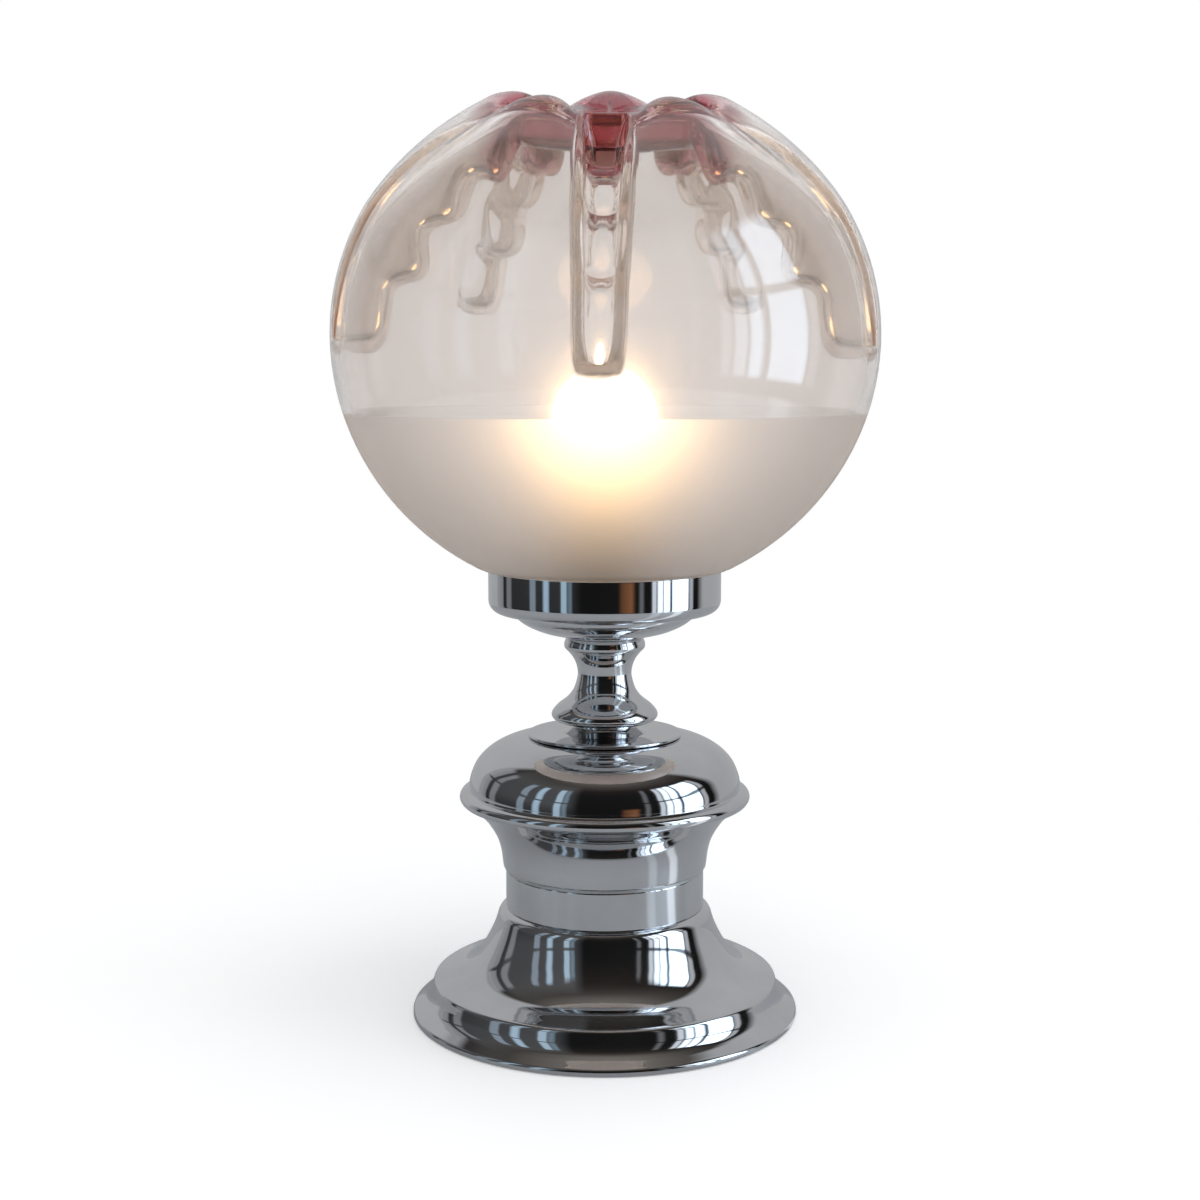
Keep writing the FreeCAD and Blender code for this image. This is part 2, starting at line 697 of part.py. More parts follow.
def bulb_profile(points):
    """Points given from the bulb's tip, set at the height where the screwed-in bulb stands."""
    return [(radius, tip + height) for radius, height in points]


def bulb_skin(inset):
    """The bulb's outline from the foot of its neck to its crown, drawn in by inset."""
    neck = bulb_neck - inset
    dome = bulb_radius - inset
    middle = bulb_length - bulb_radius
    start = (dome * math.cos(math.radians(30)), middle - dome * math.sin(math.radians(30)))
    flare = Part.BezierCurve()
    flare.setPoles([at(point) for point in bulb_profile([
        (neck, bulb_neck_end), (neck, bulb_neck_end + 12.0),
        (start[0] - 9.0 * math.sin(math.radians(30)), start[1] - 9.0 * math.cos(math.radians(30))), start])])
    across = (dome * math.cos(math.radians(30)), middle + dome * math.sin(math.radians(30)))
    bottom, end, low, high, crown = bulb_profile([
        (neck, bulb_neck_start), (neck, bulb_neck_end), start, across, (0, middle + dome)])
    return [run([bottom, end]), flare.toShape(), Part.Arc(at(low), at(high), at(crown)).toShape()]


outer_skin = bulb_skin(0)
inner_skin = bulb_skin(bulb_glass)
crown_top = tip + bulb_length
envelope = turned(Part.__sortEdges__(outer_skin + inner_skin + [
    run([(0, crown_top), (0, crown_top - bulb_glass)]),
    run([(bulb_neck, tip + bulb_neck_start), (bulb_neck - bulb_glass, tip + bulb_neck_start)])]))
save("bulb_envelope", envelope)

cap_start = tip + bulb_cap_start
save("bulb_cap", ring(bulb_cap_radius - bulb_cap_wall, bulb_cap_radius, cap_start, cap_start + bulb_cap_height))
insulator_radius = bulb_cap_radius - bulb_cap_wall - 0.05
save("bulb_insulator", turned(polygon(bulb_profile([
    (0, bulb_tip_height + 0.05), (bulb_tip_radius + 0.4, bulb_tip_height + 0.05), (10.9, 3.2),
    (insulator_radius, bulb_cap_start), (insulator_radius, 6.4), (0, 6.4)]))))
save("bulb_tip", turned(polygon(bulb_profile([
    (0, 0), (3.0, 0), (bulb_tip_radius - 0.3, 0.6), (bulb_tip_radius, 1.1), (bulb_tip_radius, bulb_tip_height),
    (0, bulb_tip_height)]))))


def wire(start, end, radius):
    direction = end - start
    return Part.makeCylinder(radius, direction.Length, start, direction)


ring_height = tip + filament_height
filament = Part.makeTorus(filament_radius, filament_wire, Vector(0, 0, ring_height), Vector(0, 0, 1),
                          -180, 180, filament_turn)
gap_middle = math.radians(filament_turn + (360 - filament_turn) / 2)
filament.rotate(Vector(0, 0, 0), Vector(0, 0, 1), 90 - math.degrees(gap_middle))
save("bulb_filament", filament)

wires = []
for angle in (90 - (360 - filament_turn) / 2 - 3, 90 + (360 - filament_turn) / 2 + 3, 210, 330):
    turn = math.radians(angle)
    upper = Vector(filament_radius * math.cos(turn), filament_radius * math.sin(turn),
                   ring_height - filament_wire - support_wire)
    lower = Vector(1.1 * math.cos(turn), 1.1 * math.sin(turn), tip + stem_top - 4.0)
    wires.append(wire(lower, upper, support_wire))
flare_bottom = bulb_neck_start + 0.2
flare_outside = (bulb_neck - bulb_glass - 0.3, flare_bottom)
flare_inside = (bulb_neck - bulb_glass - 1.1, flare_bottom)
flare_roof = (0, stem_top - 18.0)
stem_shoulder = (stem_radius, stem_top)
stem = turned([
    run(bulb_profile(between(flare_outside, stem_shoulder, [(0.484, 0.161), (0.835, 0.362), (0.967, 0.597)]))),
    run(bulb_profile([stem_shoulder, (0, stem_top)])),
    run(bulb_profile([(0, stem_top), flare_roof])),
    run(bulb_profile(between(flare_roof, flare_inside, [(0.245, 0.136), (0.566, 0.644)]))),
    run(bulb_profile([flare_inside, flare_outside])),
])
save("bulb_stem", stem.cut(wires))
save("filament_wires", Part.Compound(wires))
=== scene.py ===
import math

import bpy
import numpy as np
from mathutils import Matrix, Vector


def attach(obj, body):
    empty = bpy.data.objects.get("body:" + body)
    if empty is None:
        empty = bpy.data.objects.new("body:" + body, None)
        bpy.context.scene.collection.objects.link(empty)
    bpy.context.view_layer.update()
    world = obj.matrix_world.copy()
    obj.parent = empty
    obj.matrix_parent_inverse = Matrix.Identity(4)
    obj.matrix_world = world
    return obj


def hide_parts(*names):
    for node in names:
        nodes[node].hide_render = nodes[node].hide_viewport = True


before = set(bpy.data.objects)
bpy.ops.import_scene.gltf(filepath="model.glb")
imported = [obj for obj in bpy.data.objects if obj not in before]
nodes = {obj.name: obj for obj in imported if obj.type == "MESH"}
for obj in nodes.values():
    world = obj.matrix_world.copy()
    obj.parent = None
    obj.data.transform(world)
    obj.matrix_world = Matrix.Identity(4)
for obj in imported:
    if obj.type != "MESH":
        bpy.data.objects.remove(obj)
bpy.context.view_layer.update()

# Heights and radii below are in millimetres.
MM = 0.001

FOOT_TOP = 57.3
BAND_TOP = 77.0
DISC_TOP = 78.5
COLLAR_TOP = 113.0
DOME_TOP = 148.4
SEAT_TOP = 150.2
SPOOL_TOP = 156.6
BALUSTER_TOP = 200.6
GALLERY_BOTTOM = 214.0
GALLERY_TOP = 236.2
NECK_BOTTOM = 218.7
SHOULDER = 236.7
FROST_LINE = 317.5
GLOBE_CENTRE = 356.0
GLOBE_SHIFT = 0.4
CROWN_LEAN = 9.4
CROWN_SIDE_LEAN = 0.8
CROWN_YAW = -1.3
ROD_HOLE = 5.15
SHEET = 1.2
HEAVY_SHEET = 1.4

# The globe's outer and inner sides: half width, height above the middle and depth below it
OUTER_SIDE = (140.0, 131.8, 134.3)
INNER_SIDE = (135.8, 127.6, 130.1)
FOLD_WALL = 4.4


# Drawing curves

def through(points, step=1.2):
    """A smooth line through the points, sampled about every step millimetres."""
    line = [points[0]]
    for index in range(len(points) - 1):
        a = np.array(points[max(index - 1, 0)], float)
        b = np.array(points[index], float)
        c = np.array(points[index + 1], float)
        d = np.array(points[min(index + 2, len(points) - 1)], float)
        count = max(2, int(math.dist(b, c) / step))
        for k in range(1, count + 1):
            t = k / count
            line.append(tuple(0.5 * ((2 * b) + (c - a) * t + (2 * a - 5 * b + 4 * c - d) * t ** 2
                                     + (3 * b - a - 3 * c + d) * t ** 3)))
    return line


def rounded_path(corners, step=1.0):
    """Straight runs between (x, y, radius) corners, with an arc at each inner corner."""
    line = [corners[0][:2]]
    for before, corner, after in zip(corners, corners[1:], corners[2:]):
        point = Vector(corner[:2])
        back = (Vector(before[:2]) - point).normalized()
        ahead = (Vector(after[:2]) - point).normalized()
        half = back.angle(ahead) / 2
        reach = corner[2] / math.tan(half)
        centre = point + (back + ahead).normalized() * (corner[2] / math.sin(half))
        start = point + back * reach - centre
        turn = -start.angle_signed(point + ahead * reach - centre)
        count = max(3, int(abs(turn) * corner[2] / step))
        for k in range(count + 1):
            angle = turn * k / count
            spoke = Matrix.Rotation(angle, 2) @ start
            line.append(tuple(centre + spoke))
    line.append(corners[-1][:2])
    return line


def offset_corners(corners, gap):
    """The corners of a line that runs gap to the left of the given one."""
    points = [np.array(p, float) for p in corners]
    moved = []
    for index, point in enumerate(points):
        before = points[index] - points[index - 1] if index else points[1] - points[0]
        after = points[index + 1] - points[index] if index + 1 < len(points) else before
        n1 = np.array((-before[1], before[0])) / np.linalg.norm(before)
        n2 = np.array((-after[1], after[0])) / np.linalg.norm(after)
        moved.append(tuple(point + gap * (n1 + n2) / (1 + n1 @ n2)))
    return moved


# Modelling by hand

def clear_selection():
    if bpy.context.object and bpy.context.object.mode != "OBJECT":
        bpy.ops.object.mode_set(mode="OBJECT")
    bpy.ops.object.select_all(action="DESELECT")


def finish_piece(piece, name, body, stands_for, material, smooth=35):
    """Names a piece, lays its place in its mesh, and hands it to its body."""
    clear_selection()
    piece.select_set(True)
    bpy.context.view_layer.objects.active = piece
    bpy.ops.object.transform_apply(location=True, rotation=True, scale=True)
    bpy.ops.object.shade_smooth_by_angle(angle=math.radians(smooth))
    piece.name = name
    piece.data.name = name
    piece.data.materials.clear()
    piece.data.materials.append(material)
    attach(piece, body)
    if stands_for:
        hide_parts(*stands_for)
    return piece


def apply_modifier(piece, kind, **settings):
    clear_selection()
    piece.select_set(True)
    bpy.context.view_layer.objects.active = piece
    modifier = piece.modifiers.new(kind.lower(), kind)
    for key, value in settings.items():
        setattr(modifier, key, value)
    bpy.ops.object.modifier_apply(modifier=modifier.name)


def guarded(outline, reach=0.9):
    """The outline with a point near each end of its long straight runs, which keeps them flat beside a corner."""
    line = [outline[0]]
    for start, end in zip(outline, outline[1:]):
        length = math.dist(start, end)
        if length > 4 * reach:
            for share in (reach / length, 1 - reach / length):
                line.append((start[0] + (end[0] - start[0]) * share, start[1] + (end[1] - start[1]) * share))
        line.append(end)
    return line


def spin_on_lathe(outline, segments=160, edge=0.25):
    """Turns a closed half outline of (radius, height) points about the lamp's axis."""
    outline = guarded(outline)
    clear_selection()
    first = outline[0]
    bpy.ops.mesh.primitive_plane_add(size=0.001, location=(first[0] * MM, 0, first[1] * MM))
    piece = bpy.context.object
    bpy.ops.object.mode_set(mode="EDIT")
    bpy.ops.mesh.select_all(action="SELECT")
    bpy.ops.mesh.merge(type="CENTER")
    here = first
    for point in outline[1:]:
        step = ((point[0] - here[0]) * MM, 0, (point[1] - here[1]) * MM)
        bpy.ops.mesh.extrude_region_move(TRANSFORM_OT_translate={"value": step})
        here = point
    bpy.ops.mesh.select_all(action="SELECT")
    bpy.ops.mesh.spin(steps=segments, angle=2 * math.pi, center=(0, 0, 0), axis=(0, 0, 1))
    bpy.ops.mesh.select_all(action="SELECT")
    bpy.ops.mesh.remove_doubles(threshold=0.000004)
    bpy.ops.mesh.normals_make_consistent(inside=False)
    bpy.ops.object.mode_set(mode="OBJECT")
    if edge:
        apply_modifier(piece, "BEVEL", width=edge * MM, segments=2, limit_method="ANGLE",
                       angle_limit=math.radians(40), harden_normals=False)
    return piece


def spun_shell(outside, wall):
    """The closed outline of a spun sheet whose outer side is the given line, wall thick to its left."""
    return [tuple(p) for p in outside] + offset_corners(outside, wall)[::-1] + [tuple(outside[0])]


# Materials

def shader(name):
    material = bpy.data.materials.new(name)
    material.use_nodes = True
    tree = material.node_tree
    return material, tree, tree.nodes["Principled BSDF"]


def node(tree, kind, **settings):
    made = tree.nodes.new(kind)
    for key, value in settings.items():
        setattr(made, key, value)
    return made


def noise(tree, scale, detail=4.0, roughness=0.55, stretch=(1, 1, 1)):
    """Grain that is fixed to the piece, measured in its own metres."""
    place = node(tree, "ShaderNodeTexCoord")
    mapping = node(tree, "ShaderNodeMapping")
    mapping.inputs["Scale"].default_value = stretch
    tree.links.new(place.outputs["Object"], mapping.inputs["Vector"])
    grain = node(tree, "ShaderNodeTexNoise")
    grain.inputs["Scale"].default_value = scale
    grain.inputs["Detail"].default_value = detail
    grain.inputs["Roughness"].default_value = roughness
    tree.links.new(mapping.outputs["Vector"], grain.inputs["Vector"])
    return grain.outputs["Fac"]


def span(tree, value, low, high, to_low, to_high):
    """Carries a value from one range to another, held at the ends."""
    remap = node(tree, "ShaderNodeMapRange")
    remap.inputs["From Min"].default_value = low
    remap.inputs["From Max"].default_value = high
    remap.inputs["To Min"].default_value = to_low
    remap.inputs["To Max"].default_value = to_high
    tree.links.new(value, remap.inputs["Value"])
    return remap.outputs["Result"]


def feed(tree, socket, value):
    """Links an output to a socket, or writes a number or a colour into it."""
    if isinstance(value, tuple):
        socket.default_value = (*value, 1)
    elif isinstance(value, (int, float)):
        socket.default_value = value
    else:
        tree.links.new(value, socket)


def mixed(tree, factor, a, b, kind="MIX"):
    """A mix of two colours. Each of the three may be an output or a plain value."""
    mix = node(tree, "ShaderNodeMix", data_type="RGBA", blend_type=kind)
    for name, value in (("Factor", factor), ("A", a), ("B", b)):
        feed(tree, mix.inputs[name], value)
    return mix.outputs["Result"]


def mixed_shaders(tree, factor, a, b):
    mix = node(tree, "ShaderNodeMixShader")
    for socket, value in zip(mix.inputs, (factor, a, b)):
        tree.links.new(value, socket)
    return mix.outputs[0]


def worked(tree, operation, *values, clamp=False):
    """One step of arithmetic on outputs and plain numbers."""
    step = node(tree, "ShaderNodeMath", operation=operation, use_clamp=clamp)
    for socket, value in zip(step.inputs, values):
        feed(tree, socket, value)
    return step.outputs["Value"]


def product(tree, a, b):
    return worked(tree, "MULTIPLY", a, b)


def split_up(tree, vector):
    """The x, y and z of a vector."""
    parts = node(tree, "ShaderNodeSeparateXYZ")
    tree.links.new(vector, parts.inputs["Vector"])
    return parts.outputs["X"], parts.outputs["Y"], parts.outputs["Z"]


def length_of(tree, vector):
    step = node(tree, "ShaderNodeVectorMath", operation="LENGTH")
    tree.links.new(vector, step.inputs[0])
    return step.outputs["Value"]


def bearing(tree, x, y):
    """The direction from the lamp's axis in degrees: 0 is the front, and 90 the right."""
    return worked(tree, "DEGREES", worked(tree, "ARCTAN2", x, product(tree, y, -1.0)))


def bumped(tree, bsdf, value, distance, strength=1.0):
    bump = node(tree, "ShaderNodeBump")
    bump.inputs["Strength"].default_value = strength
    bump.inputs["Distance"].default_value = distance
    tree.links.new(value, bump.inputs["Height"])
    tree.links.new(bump.outputs["Normal"], bsdf.inputs["Normal"])


def chrome_plate():
    material, tree, bsdf = shader("chrome_plate")
    bsdf.inputs["Metallic"].default_value = 1.0
    haze = noise(tree, 22.0, 5.0, 0.6)
    clouded = span(tree, haze, 0.35, 0.7, 0, 1)
    tree.links.new(mixed(tree, clouded, (0.67, 0.68, 0.695), (0.75, 0.755, 0.765)), bsdf.inputs["Base Color"])
    tree.links.new(span(tree, haze, 0.4, 0.75, 0.035, 0.085), bsdf.inputs["Roughness"])
    bumped(tree, bsdf, noise(tree, 900.0, 2.0, 0.5, (0.15, 0.15, 1.0)), 0.000004, 0.35)
    return material


chrome = chrome_plate()

# The chromed pedestal


def make_foot():
    rim = [(102.0, 0.5), (102.0, 2.4)]
    bevel = through([(102.0, 2.4), (101.6, 3.4), (100.6, 4.2)], 0.4) + [(96.9, 6.9)]
    cove = through([(96.9, 6.9), (94.6, 9.0), (92.8, 12.0), (91.8, 14.9), (91.1, 17.3)], 0.6)
    shoulder = through([(91.1, 17.3), (90.5, 18.6), (89.2, 19.4)], 0.4)
    bell = through([(89.2, 19.4), (84.6, 20.6), (76.0, 23.5), (69.1, 29.0), (64.1, 36.0), (60.6, 42.4),
                    (58.2, 47.8), (56.9, 51.8)], 1.5)
    lip = through([(56.9, 51.8), (56.3, 53.8), (54.9, 55.9), (52.8, FOOT_TOP)], 0.6)
    outside = rim + bevel[1:] + cove[1:] + shoulder[1:] + bell[1:] + lip[1:] + [(ROD_HOLE, FOOT_TOP)]
    piece = spin_on_lathe(spun_shell(outside, HEAVY_SHEET))
    bore_for_cord(piece, 4.05, 80, 110)
    return finish_piece(piece, "foot_bell", "stand", ["base_foot"], chrome)


def bore_for_cord(piece, radius, start, end):
    """Cuts a round hole through the back of the foot, at the height of the cord's bushing."""
    clear_selection()
    bpy.ops.mesh.primitive_cylinder_add(vertices=48, radius=radius * MM, depth=(end - start) * MM,
                                        location=(0, (start + end) / 2 * MM, 13.2 * MM),
                                        rotation=(math.pi / 2, 0, 0))
    tool = bpy.context.object
    apply_modifier(piece, "BOOLEAN", object=tool, operation="DIFFERENCE", solver="EXACT")
    bpy.data.objects.remove(tool, do_unlink=True)


def make_band():
    outline = [(52.3, FOOT_TOP), (52.3, BAND_TOP), (51.1, BAND_TOP), (51.1, FOOT_TOP), (52.3, FOOT_TOP)]
    return finish_piece(spin_on_lathe(outline, 192, 0.35), "band", "stand", ["column_band"], chrome)


def make_collar():
    flare = through([(53.6, 79.3), (54.1, 83.0), (54.9, 88.6), (56.8, 94.9), (60.3, 101.3), (64.6, 106.9),
                     (71.4, COLLAR_TOP)], 1.2)
    outside = [(46.0, DISC_TOP), (52.8, DISC_TOP), (53.3, 78.75)] + flare + [(64.0, COLLAR_TOP)]
    return finish_piece(spin_on_lathe(spun_shell(outside, SHEET)), "collar", "stand", ["column_collar"], chrome)


def make_dome():
    bead = through([(72.4, COLLAR_TOP), (75.2, 114.0), (76.4, 116.4), (75.3, 119.0), (71.5, 120.6)], 0.5)
    dome = through([(71.5, 120.6), (71.3, 123.8), (70.3, 128.2), (67.2, 134.8), (61.2, 140.8), (53.0, 145.2),
                    (43.0, 147.7), (34.0, DOME_TOP)], 1.2)
    outside = [(63.9, 111.0), (63.9, COLLAR_TOP)] + bead + dome[1:] + [(ROD_HOLE, DOME_TOP)]
    return finish_piece(spin_on_lathe(spun_shell(outside, SHEET)), "dome", "stand", ["dome_cap"], chrome)


def make_seating_disc():
    edge = [(39.5 + 0.9 * math.sin(a), 149.3 - 0.9 * math.cos(a)) for a in np.linspace(0, math.pi, 9)]
    outline = [(ROD_HOLE, DOME_TOP)] + edge + [(ROD_HOLE, SEAT_TOP), (ROD_HOLE, DOME_TOP)]
    return finish_piece(spin_on_lathe(outline, 160, 0), "disc_plate", "stand", ["seating_disc"], chrome)


def make_spool():
    side = through([(21.8, SEAT_TOP), (19.2, 151.7), (17.2, 154.2), (17.5, SPOOL_TOP)], 0.5)
    outline = [(ROD_HOLE, SEAT_TOP)] + side + [(ROD_HOLE, SPOOL_TOP), (ROD_HOLE, SEAT_TOP)]
    return finish_piece(spin_on_lathe(outline, 128), "spool", "stand", ["stem_spool"], chrome)


def make_baluster():
    body = through([(25.8, SPOOL_TOP), (27.6, 158.5), (27.6, 161.0), (24.6, 164.7), (20.2, 168.1), (17.6, 171.0),
                    (15.7, 174.4), (14.1, 180.8), (14.8, 186.0), (16.7, 190.1), (19.3, 193.3)], 0.8)
    bead = through([(19.3, 193.3), (20.9, 195.0), (21.2, 196.9), (20.6, 199.1), (19.6, BALUSTER_TOP)], 0.5)
    outline = [(ROD_HOLE, SPOOL_TOP)] + body + bead[1:] + [(ROD_HOLE, BALUSTER_TOP), (ROD_HOLE, SPOOL_TOP)]
    return finish_piece(spin_on_lathe(outline, 128), "baluster", "stand", ["stem_baluster"], chrome)


def make_bowl():
    side = through([(19.6, BALUSTER_TOP), (24.0, 201.7), (33.5, 204.1), (40.6, 207.1), (45.2, 210.2),
                    (46.6, 212.2)], 0.8)
    outside = [(ROD_HOLE, BALUSTER_TOP)] + side + [(46.6, GALLERY_BOTTOM)]
    return finish_piece(spin_on_lathe(spun_shell(outside, HEAVY_SHEET)), "bowl", "stand", ["fitter_bowl"], chrome)


def make_gallery():
    corner = [(54.1 + 6.5 * math.sin(a), 220.5 - 6.5 * math.cos(a)) for a in np.linspace(0, math.pi / 2, 12)]
    outside = [(ROD_HOLE, GALLERY_BOTTOM)] + corner + [(60.6, GALLERY_TOP)]
    return finish_piece(spin_on_lathe(spun_shell(outside, HEAVY_SHEET), 192, 0.3), "gallery", "stand",
                        ["gallery_ring"], chrome)


make_foot()
make_band()
make_collar()
make_dome()
make_seating_disc()
make_spool()
make_baluster()
make_bowl()
make_gallery()

# The globe: a single skin of glass, pleated by five folds about its leaning crown

FOLD_CORNERS = [(46.0, 99.0), (55.5, 75.5), (70.5, 87.5), (77.0, 65.0), (94.8, 62.6), (93.2, 38.6),
                (111.6, 36.6), (117.6, 2.6), (152.0, 0.6)]


def ellipse_side(radius, rise, start, end, count):
    """Points down the side of the globe, between two turns from its top, in degrees."""
    line = []
    for turn in np.radians(np.linspace(start, end, count)):
        line.append((radius * math.sin(turn), rise * math.cos(turn)))
    return line


def stepped_line(corners, jut, fall):
    """A fold's line with its outward and inward corners rounded by jut and fall, and its last one widely."""
    marked = [corners[0] + (0,)]
    for before, corner, after in zip(corners, corners[1:], corners[2:]):
        bend = ((corner[0] - before[0]) * (after[1] - corner[1])
                - (corner[1] - before[1]) * (after[0] - corner[0]))
        reach = jut if bend > 0 else fall
        marked.append(tuple(corner) + (15.0 if after is corners[-1] else reach,))
    return np.array(rounded_path(marked + [tuple(corners[-1]) + (0,)], 0.8))


def lengths_along(line):
    line = np.asarray(line, float)
    return np.concatenate([[0], np.cumsum(np.linalg.norm(np.diff(line, axis=0), axis=1))])


def resample(line, where):
    line = np.asarray(line, float)
    along = lengths_along(line)
    return np.stack([np.interp(where, along, line[:, 0]), np.interp(where, along, line[:, 1])], axis=1)


def soften(line, reach):
    """The line with its corners eased, each point drawn to the mean of those within reach of it."""
    along = np.arange(0.0, lengths_along(line)[-1], 0.5)
    points = resample(line, along)
    eased = points.copy()
    for index in range(len(points)):
        width = min(int(reach / 0.5), index, len(points) - 1 - index)
        eased[index] = points[index - width:index + width + 1].mean(axis=0)
    return eased


def up_to_wall(line, radius, rise):
    """The part of a line that lies inside the globe's side, ending on it."""
    outside = (line[:, 0] / radius) ** 2 + (line[:, 1] / rise) ** 2 > 1.0
    return line[:int(np.argmax(outside))]


def nearest(line, point):
    """The index of the point of a line that lies nearest to the given one."""
    gaps = np.linalg.norm(np.asarray(line, float) - np.array(point, float), axis=1)
    return int(np.argmin(gaps))


def pleat_rows(surface, floor, anchors, spacing):
    """Rows down one side of the glass: surface points, outward normals, floor points, distances past the folds.

    anchors pairs a length along the surface with a length along the fold's floor. Outside
    the first and last anchor the fold has no depth.
    """
    total = lengths_along(surface)[-1]
    start, end = anchors[0][0], anchors[-1][0]
    stops = [0.0]
    while stops[-1] < total - 0.3:
        here = stops[-1]
        step = spacing if here < end + 8 else spacing * 2.4
        stops.append(min(here + step, total))
    stops = np.array(stops)
    top = resample(surface, stops)
    ahead = resample(surface, stops + 1.5) - resample(surface, stops - 1.5)
    normal = np.stack([-ahead[:, 1], ahead[:, 0]], axis=1) / np.linalg.norm(ahead, axis=1)[:, None]
    low = top.copy()
    inside = (stops > start) & (stops < end)
    reach = np.interp(stops[inside], [a[0] for a in anchors], [a[1] for a in anchors])
    low[inside] = resample(floor, reach)
    return top, normal, low, stops - end


# How far from the crown's axis the folds taper, and half their width there
NEAR_REACH, NEAR_HALF = 48.5, 10.2
FAR_REACH, FAR_HALF = 122.0, 6.2

# Each of the five folds, from the front one round to the right: how much further down the globe it
# runs than FOLD_CORNERS says, and how much deeper it goes
FOLD_REACH = (-1.2, 3.4, 2.0, 4.5, 4.6)
FOLD_DEPTH = (0.0, 5.0, 4.0, 5.0, 5.5)

FIFTH = math.radians(72)
WIDEST_MOUTH = math.radians(34)
LOBE_COLUMNS = 22
SLOPE_POINTS = 15
ROW_SPACING = 2.1


def ease(value):
    """A smooth step from 0 to 1."""
    value = max(0.0, min(1.0, value))
    return value * value * (3 - 2 * value)


def half_width(radius, wall):
    """Half the width of a fold at a distance from the crown's axis, rounded off at its outer end."""
    taper = (FAR_HALF - NEAR_HALF) / (FAR_REACH - NEAR_REACH)
    half = NEAR_HALF + wall + taper * (max(radius, 20.0) - NEAR_REACH)
    past = (radius - 124.0) / (16.5 + wall * 1.4)
    return half * math.sqrt(max(0.02, 1 - past * past)) if past > 0 else half


def fold_profile(half, lip, mouth, floor_round, depth):
    """A fold from one lip to the other: (distance from its middle, share of its depth).

    Each side rounds over its lip, drops straight and rounds in to a flat floor. A fold less
    than 8 mm deep flattens out, until the row is level.
    """
    lip_now = min(lip, depth / 2)
    round_now = min(floor_round, depth / 2, half * 0.97)
    shaped = ease(depth / 8.0)
    slope = []
    for k in range(SLOPE_POINTS):
        t = k / (SLOPE_POINTS - 1)
        flat_x = mouth * (1 - t)
        if t < 0.3:
            turn = t / 0.3 * math.pi / 2
            x, d = half + lip * (1 - math.sin(turn)), lip_now * (1 - math.cos(turn))
        elif t < 0.5:
            x, d = half, lip_now + (depth - lip_now - round_now) * (t - 0.3) / 0.2
        elif t < 0.93:
            turn = (t - 0.5) / 0.43 * math.pi / 2
            x, d = half - round_now * (1 - math.cos(turn)), depth - round_now * (1 - math.sin(turn))
        else:
            x, d = (half - round_now) * (1 - t) / 0.07, depth
        x = flat_x + (min(x, mouth) - flat_x) * shaped
        slope.append((x, d * shaped / depth if depth else 0.0))
    return [(-x, share) for x, share in slope] + [(x, share) for x, share in slope[-2::-1]]


def slid(point, turn):
    """The point moved down the side of the globe by a turn about its centre, in radians."""
    x, y, z = point
    reach = math.hypot(x, y)
    if reach < 0.01:
        return point
    moved = (reach * math.cos(turn) + z * math.sin(turn)) / reach
    return (x * moved, y * moved, z * math.cos(turn) - reach * math.sin(turn))


def pleated_ring(top, normal, low, past_end, side):
    """One row around the crown's axis: five pleats with a rounded lobe between each pair.

    side gives the glass wall round a fold, the radius of its lips near the crown and far from
    it, the radius of its floor, how far the lips sag, and between which radii the sag sets in.
    """
    radius = top[0]
    sag = side["sag"] * float(np.interp(radius, side["sag_from"] + (68.0, 118.0), (0.0, 1.0, 1.0, 0.0)))
    if past_end > 0:
        sag = 0.0
    lip_r, lip_z = top[0] - sag * abs(normal[0]), top[1] - sag * abs(normal[1])
    depth = math.dist((lip_r, lip_z), low) if math.dist(top, low) > 0.01 else 0.0
    half = float(half_width(low[0] if depth else radius, side["wall"]))
    lip = float(np.interp(radius, [45.0, 120.0], side["lips"]))
    mouth = min(half + lip, radius * math.sin(WIDEST_MOUTH))
    profile = fold_profile(half, lip, mouth, side["floor_round"], depth)
    even = ease(past_end / 70.0)
    spread = FIFTH * (len(profile) - 1) / (len(profile) - 1 + LOBE_COLUMNS) / 2
    lip_angle = math.asin(min(1, mouth / radius)) if radius > 0.01 else WIDEST_MOUTH
    lip_angle += even * (spread - lip_angle)
    slide = ease((radius - 55.0) / 60.0) * (1 - even) / 130.0
    ring = []
    for fold in range(5):
        deeper = FOLD_DEPTH[fold] * ease((low[0] - 48.0) / 14.0) * ease((133.0 - low[0]) / 12.0) if depth else 0.0
        floor_r, floor_z = low[0] - 0.68 * deeper, low[1] - 0.73 * deeper
        middle = math.radians(72 * fold + CROWN_YAW)
        along = (math.sin(middle), -math.cos(middle))
        across = (math.cos(middle), math.sin(middle))
        for index, (x, share) in enumerate(profile):
            angle = math.asin(max(-1, min(1, x / radius)))
            angle += even * (spread * (2 * index / (len(profile) - 1) - 1) - angle)
            x, run = radius * math.sin(angle), radius * math.cos(angle)
            run += lip_r - radius
            run += (floor_r - run) * share
            z = lip_z + (floor_z - lip_z) * share
            point = (along[0] * run + across[0] * x, along[1] * run + across[1] * x, z)
            ring.append(slid(point, FOLD_REACH[fold] * slide))
        for column in range(1, LOBE_COLUMNS):
            t = column / LOBE_COLUMNS
            angle = middle + lip_angle + (FIFTH - 2 * lip_angle) * t
            fall = (2 * t - 1) ** 2
            reach = radius + (lip_r - radius) * fall
            point = (reach * math.sin(angle), -reach * math.cos(angle), top[1] + (lip_z - top[1]) * fall)
            between = FOLD_REACH[fold] + (FOLD_REACH[(fold + 1) % 5] - FOLD_REACH[fold]) * ease(t)
            ring.append(slid(point, between * slide))
    return ring


